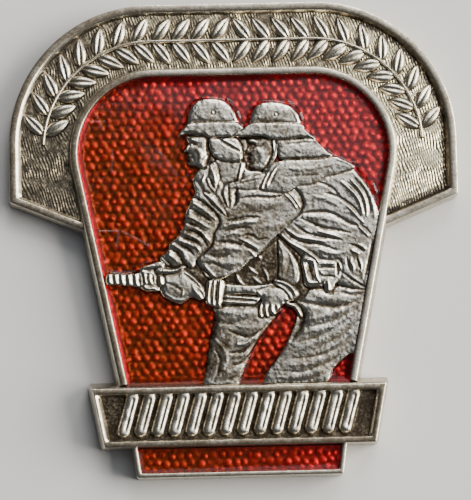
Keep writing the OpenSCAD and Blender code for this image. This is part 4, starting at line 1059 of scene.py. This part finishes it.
      (0.13, 0.10, [(-10.66, 18.05), (-10.6, 17.2)]),
      (0.08, -0.12, [(-10.38, 18.05), (-10.32, 17.2)]),
      (0.13, 0.10, [(-10.1, 18.05), (-10.04, 17.15)]),
      (0.08, -0.12, [(-9.8, 18.05), (-9.74, 17.1)]),
      (0.13, 0.10, [(-9.5, 18.05), (-9.42, 17.1)]),
      (0.08, -0.12, [(-9.2, 18.1), (-9.1, 17.0)]),
      (0.14, 0.10, [(-8.9, 18.1), (-8.8, 17.0)]),
      (0.08, -0.13, [(-8.6, 18.1), (-8.5, 16.95)])]),
    ("fingers_left", 0.98, 0.24, 0.34,
     [(-8.6, 18.5), (-8.2, 18.75), (-7.4, 19.0), (-6.7, 19.2), (-6.3, 18.8), (-6.5, 18.3), (-7.2, 18.35),
      (-7.0, 17.7), (-7.1, 17.0), (-6.7, 16.6), (-7.2, 16.45), (-7.9, 16.45), (-8.4, 16.75), (-8.2, 17.2),
      (-8.3, 17.9), (-8.5, 18.3)],
     [(0.12, 0.12, [(-8.7, 18.45), (-8.0, 18.65), (-7.3, 18.85)]),
      (0.10, -0.18, [(-8.2, 18.4), (-7.6, 18.35), (-7.0, 18.5)]),
      (0.10, 0.12, [(-8.1, 18.0), (-8.0, 17.3)]),
      (0.08, -0.16, [(-7.85, 18.1), (-7.8, 17.2)]),
      (0.10, 0.12, [(-7.62, 17.9), (-7.6, 17.3)]),
      (0.08, -0.15, [(-7.4, 18.0), (-7.3, 17.1)]),
      (0.12, 0.10, [(-8.1, 16.85), (-7.7, 16.7), (-7.1, 16.8)]),
      (0.07, -0.14, [(-8.0, 17.08), (-7.5, 17.0), (-7.1, 17.05)])]),
    ("thumb_left", 1.0, 0.16, 0.25,
     [(-7.05, 18.5), (-6.2, 18.52), (-5.4, 18.48), (-4.8, 18.72), (-4.45, 18.6), (-4.9, 18.2),
      (-5.6, 18.0), (-6.6, 18.0), (-7.1, 18.1)],
     [(0.09, 0.08, [(-6.9, 18.3), (-5.6, 18.25), (-4.7, 18.55)])]),
    ("knob", 1.02, 0.12, 0.2,
     [(-6.9, 17.75), (-6.55, 17.85), (-6.4, 17.5), (-6.45, 17.05), (-6.8, 16.95), (-6.95, 17.3)],
     [(0.09, 0.08, [(-6.68, 17.7), (-6.66, 17.1)])]),
    ("hand_right", 1.02, 0.24, 0.9,
     [(1.7, 16.3), (2.2, 16.5), (3.2, 16.75), (4.1, 16.5), (4.6, 16.0), (4.75, 15.4), (4.3, 15.15),
      (3.9, 14.85), (3.6, 14.45), (3.25, 14.1), (2.95, 14.3), (2.7, 13.95), (2.4, 14.2), (2.2, 13.95),
      (1.95, 14.1), (1.95, 14.9), (2.2, 15.5), (1.9, 15.9)],
     [(0.10, 0.09, [(1.75, 16.3), (2.0, 16.1), (2.2, 15.8)]),
      (0.09, 0.12, [(2.1, 15.1), (2.05, 14.2)]),
      (0.07, -0.20, [(2.32, 15.1), (2.3, 14.1)]),
      (0.09, 0.12, [(2.58, 15.1), (2.56, 14.2)]),
      (0.07, -0.20, [(2.84, 15.1), (2.82, 14.2)]),
      (0.09, 0.12, [(3.1, 15.1), (3.08, 14.3)]),
      (0.07, -0.18, [(3.36, 15.0), (3.4, 14.4)]),
      (0.10, 0.09, [(3.65, 15.0), (3.6, 14.6)])]),
    ("cuff_right", 1.05, 0.14, 0.3,
     [(3.35, 17.35), (3.9, 17.25), (4.6, 16.95), (5.2, 16.5), (5.5, 16.0), (5.2, 15.55), (4.75, 15.4),
      (4.55, 15.9), (4.2, 16.35), (3.6, 16.75), (3.3, 16.95)],
     [(0.10, 0.10, [(3.6, 17.2), (4.4, 16.95), (5.0, 16.4), (5.2, 15.9)]),
      (0.07, -0.16, [(3.5, 16.98), (4.2, 16.7), (4.75, 16.2), (4.95, 15.7)]),
      (0.08, 0.10, [(3.5, 16.82), (4.1, 16.5), (4.55, 16.0), (4.72, 15.6)])]),
    ("belt", 0.96, 0.12, 0.4,
     [(5.8, 19.1), (6.4, 19.75), (6.9, 19.5), (7.4, 19.1), (8.4, 18.9), (9.2, 18.9), (9.3, 17.6),
      (8.9, 17.0), (8.4, 16.2), (7.9, 16.1), (7.6, 16.9), (6.9, 16.65), (6.2, 16.65), (5.95, 17.6)],
     [(0.07, 0.16, [(5.95, 18.8), (6.12, 18.1), (6.3, 17.3), (6.5, 16.95), (7.2, 16.95)]),
      (0.26, -0.30, [(6.42, 18.6), (6.55, 18.0), (6.68, 17.35)]),
      (0.09, 0.17, [(6.9, 18.9), (7.0, 18.1), (7.15, 17.4), (7.4, 16.95)]),
      (0.09, 0.13, [(6.1, 18.9), (6.5, 19.0), (6.9, 18.85)]),
      (0.12, 0.15, [(6.4, 19.6), (6.9, 19.3), (7.3, 18.8)]),
      (0.09, -0.12, [(7.4, 18.2), (8.0, 18.3), (8.7, 18.2)]),
      (0.10, 0.08, [(7.5, 18.6), (8.2, 18.65), (8.8, 18.6)]),
      (0.09, 0.09, [(7.5, 17.85), (7.75, 17.7)]),
      (0.08, -0.12, [(7.6, 17.45), (8.2, 17.5), (8.8, 17.4)]),
      (0.12, 0.13, [(8.1, 17.1), (8.15, 16.6), (8.1, 16.15)]),
      (0.10, 0.10, [(7.8, 16.95), (7.55, 16.6)]),
      (0.11, -0.24, [(8.95, 18.6), (9.0, 18.1), (8.95, 17.6)]),
      (0.09, 0.12, [(9.15, 18.7), (9.35, 18.1), (9.7, 17.6)])]),
    ("gap_edge", 0.86, 0.1, 0.2,
     [(4.3, 15.3), (4.9, 15.25), (5.4, 14.9), (5.75, 14.2), (5.6, 13.9), (5.3, 14.3), (4.9, 14.75),
      (4.4, 14.95)],
     [(0.08, 0.10, [(4.5, 15.15), (5.2, 14.85), (5.6, 14.15)])]),
]

# Rivets of the helmets: x, y, radius
RIVETS = [(-1.75, 32.35, 0.17), (3.85, 32.07, 0.16)]


def smooth_line(points, closed, step=0.12):
    """Points of a smooth curve through the given ones."""
    p = np.array(points, float)
    n = len(p)
    out = []
    for i in range(n if closed else n - 1):
        if closed:
            a, b, c, d = (p[(i + k) % n] for k in (-1, 0, 1, 2))
        else:
            b, c = p[i], p[i + 1]
            a = p[i - 1] if i else 2 * b - c
            d = p[i + 2] if i + 2 < n else 2 * c - b
        count = max(1, int(np.ceil(np.hypot(*(c - b)) / step)))
        t = (np.arange(count) / count)[:, None]
        out.append(0.5 * (2 * b + (c - a) * t + (2 * a - 5 * b + 4 * c - d) * t ** 2
                          + (3 * b - a - 3 * c + d) * t ** 3))
    if not closed:
        out.append(p[-1:])
    return np.concatenate(out)


def rounded(u):
    """A quarter circle from 0 to 1 as u goes from 0 to 1."""
    u = np.clip(u, 0, 1)
    return np.sqrt(u * (2 - u))


def lay_part(field, top, drop, edge, points, strokes):
    """Lays one form over those before it, with a dark groove beside it, and draws its strokes."""
    outline = smooth_line(points, True)
    window = field.window(outline, 3 * GROOVE_W)
    d = field.depth(outline, window)
    below = field.h[window]
    cover = ease(d / (2 * EDGE_SOFT) + 0.5)
    dark = np.where(below > 0.05, GROOVE * np.exp(-(np.minimum(d, 0) / GROOVE_W) ** 2), 0)
    shape = np.zeros_like(field.h)
    shape[window] = top - drop + drop * rounded(d / edge)
    for half, height, line in strokes:
        curve = smooth_line(line, False)
        around = field.window(curve, 2 * half)
        q, t = field.gap(curve, False, around)
        taper = 0.35 + 0.65 * np.sqrt(np.sin(np.pi * np.clip(t, 0.02, 0.98)))
        shape[around] += height * taper * np.exp(-(q / (half * taper)) ** 2)
    field.h[window] = np.maximum(below - dark, 0) * (1 - cover) + shape[window] * cover


def relief_field():
    field = Field(RELIEF_BOX, RELIEF_CELL, RELIEF_CELL)
    for name, top, drop, edge, points, strokes in PARTS:
        lay_part(field, top, drop, edge, points, strokes)
    gx, gy = np.meshgrid(field.x, field.y)
    for x, y, r in RIVETS:
        q = np.hypot(gx - x, gy - y) / r
        field.h += 0.05 * np.exp(-(q * 1.5) ** 4) - 0.06 * np.exp(-((q - 1.1) * 3.0) ** 2) * (field.h > 0.1)
    grain = 0.014 * smooth_noise(gx, gy, 0.16, 1) + 0.016 * smooth_noise(gx, gy, 0.34, 2)
    field.h += grain * np.clip(field.h / 0.3, 0, 1)
    field.h *= RELIEF_SCALE
    return field


def field_outline(inset):
    """Outline of the shield's field at a distance inside its outer edge, down to the bar."""
    corners, radii = shield_corners(FIELD_FOOT_Y)
    return inset_path(corners, radii, inset, False)


def build_figures(relief):
    """The figures, darker in their hollows and stains and brighter on their edges, with painted shade in
    their low recesses and painted highlights and shade among the stains.
    """
    gx, gy = np.meshgrid(relief.x, relief.y)
    room = relief.depth(field_outline(FILL_INSET), relief.everywhere())
    shown = (relief.h > 0.04) & (room > 0)
    hollow = np.clip((blurred(relief.h, 4) - relief.h) / 0.06, -1, 1)
    stain_and_light = 0.10 * smooth_noise(gx, gy, 2.6, 15)
    # Stains, with painted highlights and shade among them
    for x, y, reach, dark in STAINS_AND_LIGHT:
        stain_and_light += dark * np.exp(-((gx - x) ** 2 + (gy - y) ** 2) / reach ** 2)
    # Painted shade: the low places between the figures are darkened
    recess_shade = ease((DARK_BELOW * RELIEF_SCALE - relief.h) / 0.05)
    wear_and_shade = 0.24 + stain_and_light + 0.45 * np.clip(hollow, 0, 1) - 0.30 * np.clip(-hollow, 0, 1) + 0.45 * recess_shade
    wear_and_shade = np.clip(wear_and_shade, 0, 1)
    z = np.minimum(FIELD_Z + relief.h, BADGE_TOP_Z - 0.01)
    grid_object("figures_in_relief", relief, z, shown, RELIEF_METAL, "relief_metal", wear_and_shade,
                sharp_deg=180, replaces="firefighters")


def build_field_ground():
    """Ground of the shield's field, with pebbles that are flatter at the lower left, and a painted highlight
    on its left wall, which faces the light.
    """
    half_w, cell, pebble_h, wall_h = 14.2, 0.11, 0.20, 0.33
    field = Field((-half_w, half_w, FIELD_FOOT_Y, SHIELD_TOP_Y), cell, cell)
    room = field.depth(field_outline(FIELD_INSET - 0.2), field.everywhere())
    dome = pebbles(field, 21)
    gx, gy = np.meshgrid(field.x, field.y)
    edge = ease(room / 0.7)
    climb = 1 - ease((room - 0.15) / 0.6)
    dome *= 0.62 + 0.38 * ease((gx - 3) / 5) * ease((gx + gy - 30) / 5)
    grain = 0.012 * smooth_noise(gx, gy, 0.3, 13)
    z = FIELD_Z + 0.02 + pebble_h * dome * edge + wall_h * climb + grain
    # Painted highlight: the wall that faces the light is pushed above 1, to the lit red strip
    faces_right = ease((np.gradient(room, field.x, axis=1) - 0.5) / 0.4)
    mottled = 0.12 * smooth_noise(gx, gy, 0.25, 17) - 0.12
    wear_and_shade = np.clip(1 + mottled - dome * 1.05 * edge, 0, 1) + 1.2 * faces_right * ease(2 * climb)
    grid_object("enamel_ground_field", field, z, room > 0, ENAMEL_GROUND, "cast_metal", wear_and_shade, sharp_deg=180)


def cad_box_mm(node, margin):
    low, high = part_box(node)
    lift = CAD_BOX[0].y
    return (low.x / MM - margin, high.x / MM + margin, (low.y - lift) / MM - margin,
            (high.y - lift) / MM + margin)


# Places where the enamel stands up along the metal and catches the light
ENAMEL_RIDGES = [[(10.75, 27.5), (11.5, 26.75), (12.25, 25.75), (12.55, 25.0)],
                 [(-0.4, 33.45), (0.05, 33.05), (0.38, 32.5), (0.58, 31.9)],
                 [(5.0, 33.15), (5.5, 32.85), (5.95, 32.3), (6.15, 31.7)]]


def build_enamel(relief):
    """Glass in the cells of the field: its surface climbs a little where it meets the metal."""
    room = relief.depth(field_outline(FILL_INSET), relief.everywhere())
    free = relief.h < GLASS_BELOW * RELIEF_SCALE
    away = blurred(np.where(relief.h > 0.3, 1.0, 0.0), 2)
    gx, gy = np.meshgrid(relief.x, relief.y)
    meniscus = 0.05 * np.exp(-np.clip(room, 0, None) / 0.25) + 0.15 * away
    z = ENAMEL_Z - 0.02 + meniscus + 0.015 * smooth_noise(gx, gy, 2.5, 14)
    for lines, height, half_w in ((CRACKS, -0.06, 0.07), (ENAMEL_RIDGES, 0.11, 0.18)):
        for points in lines:
            line = np.array(points)
            near = relief.window(line, 0.6)
            z[near] += height * np.exp(-(relief.gap(line, False, near)[0] / half_w) ** 2)
    left = (room > -0.05) & free
    for node in ("enamel_leg_gap", "enamel_corner", "enamel_field"):
        here = left.copy()
        if node != "enamel_field":
            x0, x1, y0, y1 = cad_box_mm(node, 0.5)
            here &= (gx > x0) & (gx < x1) & (gy > y0) & (gy < y1)
        left &= ~here
        grid_object("glass_" + node, relief, z, here, ENAMEL, "red_enamel", sharp_deg=180, replaces=node)


def build_tag():
    """Enamel of the tag, on its pebbled ground."""
    cell, rim_w, pebble_h = 0.11, 0.45, 0.10
    field = Field((-TAG_W / 2, TAG_W / 2, 0, BAR_Y + 0.2), cell, cell)
    corners, radii = tag_corners()
    room = field.depth(inset_path(corners, radii, rim_w, True), field.everywhere())
    dome = pebbles(field, 22)
    z = TAG_Z + 0.02 + pebble_h * dome * ease(room / 0.4)
    grid_object("enamel_ground_tag", field, z, room > 0, ENAMEL_GROUND, "cast_metal",
                np.clip(0.8 - 0.55 * dome, 0, 1), sharp_deg=180)
    top = TAG_ENAMEL_Z - 0.02 + 0.05 * np.exp(-np.clip(room - 0.1, 0, None) / 0.2)
    grid_object("glass_enamel_tag", field, top, room > 0.05, ENAMEL, "red_enamel", sharp_deg=180,
                replaces="enamel_tag")


def dress_pin():
    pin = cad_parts["back_pin"]
    pin.data.materials.clear()
    pin.data.materials.append(PIN)


# Stage

def build_floor():
    side = 1.2
    mesh = bpy.data.meshes.new("floor")
    corners = [(-side, -side, 0), (side, -side, 0), (side, side, 0), (-side, side, 0)]
    mesh.from_pydata(corners, [], [(0, 1, 2, 3)])
    pale = Surface("floor")
    pale.set("Base Color", (0.78, 0.77, 0.75, 1))
    pale.set("Roughness", 0.7)
    mesh.materials.append(pale.material)
    floor = bpy.data.objects.new("floor", mesh)
    bpy.context.scene.collection.objects.link(floor)


def area_light(name, azimuth, elevation, distance, size, power, colour):
    """A square soft light that faces the badge, from an azimuth counted from +X towards +Y."""
    a, e = math.radians(azimuth), math.radians(elevation)
    data = bpy.data.lights.new(name, "AREA")
    data.shape = "SQUARE"
    data.size = size
    data.energy = power
    data.color = colour
    light = bpy.data.objects.new(name, data)
    light.location = distance * Vector((math.cos(a) * math.cos(e), math.sin(a) * math.cos(e), math.sin(e)))
    light.rotation_euler = light.location.to_track_quat("Z", "Y").to_euler()
    bpy.context.scene.collection.objects.link(light)


def build_lights():
    area_light("key_light", 5, 30, 0.6, 0.50, 8.0, (1.0, 0.96, 0.87))
    area_light("top_light", 75, 42, 0.6, 0.30, 1.6, (1.0, 0.98, 0.95))
    area_light("overhead_light", 45, 58, 0.85, 0.80, 2.4, (0.90, 0.93, 1.0))
    world = bpy.data.worlds.new("studio")
    world.use_nodes = True
    background = world.node_tree.nodes["Background"]
    background.inputs["Color"].default_value = (0.80, 0.88, 1.0, 1)
    background.inputs["Strength"].default_value = 0.065
    bpy.context.scene.world = world


def build_camera():
    """The photograph's view: a little from below the badge and turned clockwise."""
    tilt, azimuth, roll = math.radians(7), math.radians(-0.7), math.radians(1.3)
    distance, focal_px, frame_w_px, sensor = 260, 2906, 471, 36
    aim = Vector((0.04, -0.83, 0.0)) * MM
    back = Vector((math.sin(azimuth), -math.sin(tilt), math.cos(tilt))).normalized()
    up = Vector((math.sin(roll), math.cos(roll), 0))
    right = up.cross(back).normalized()
    up = back.cross(right)
    data = bpy.data.cameras.new("camera")
    data.sensor_width = sensor
    data.sensor_fit = "HORIZONTAL"
    data.lens = focal_px / frame_w_px * sensor
    data.clip_start, data.clip_end = 0.01, 10
    camera = bpy.data.objects.new("camera", data)
    turn = Matrix((right, up, back)).transposed()
    camera.matrix_world = Matrix.Translation(aim + back * distance * MM) @ turn.to_4x4()
    bpy.context.scene.collection.objects.link(camera)
    bpy.context.scene.camera = camera


build_rims()
build_back()
build_band_ground()
build_laurel()
build_bar_ground()
RELIEF = relief_field()
build_figures(RELIEF)
build_field_ground()
build_enamel(RELIEF)
build_tag()
dress_pin()
build_floor()
build_lights()
build_camera()
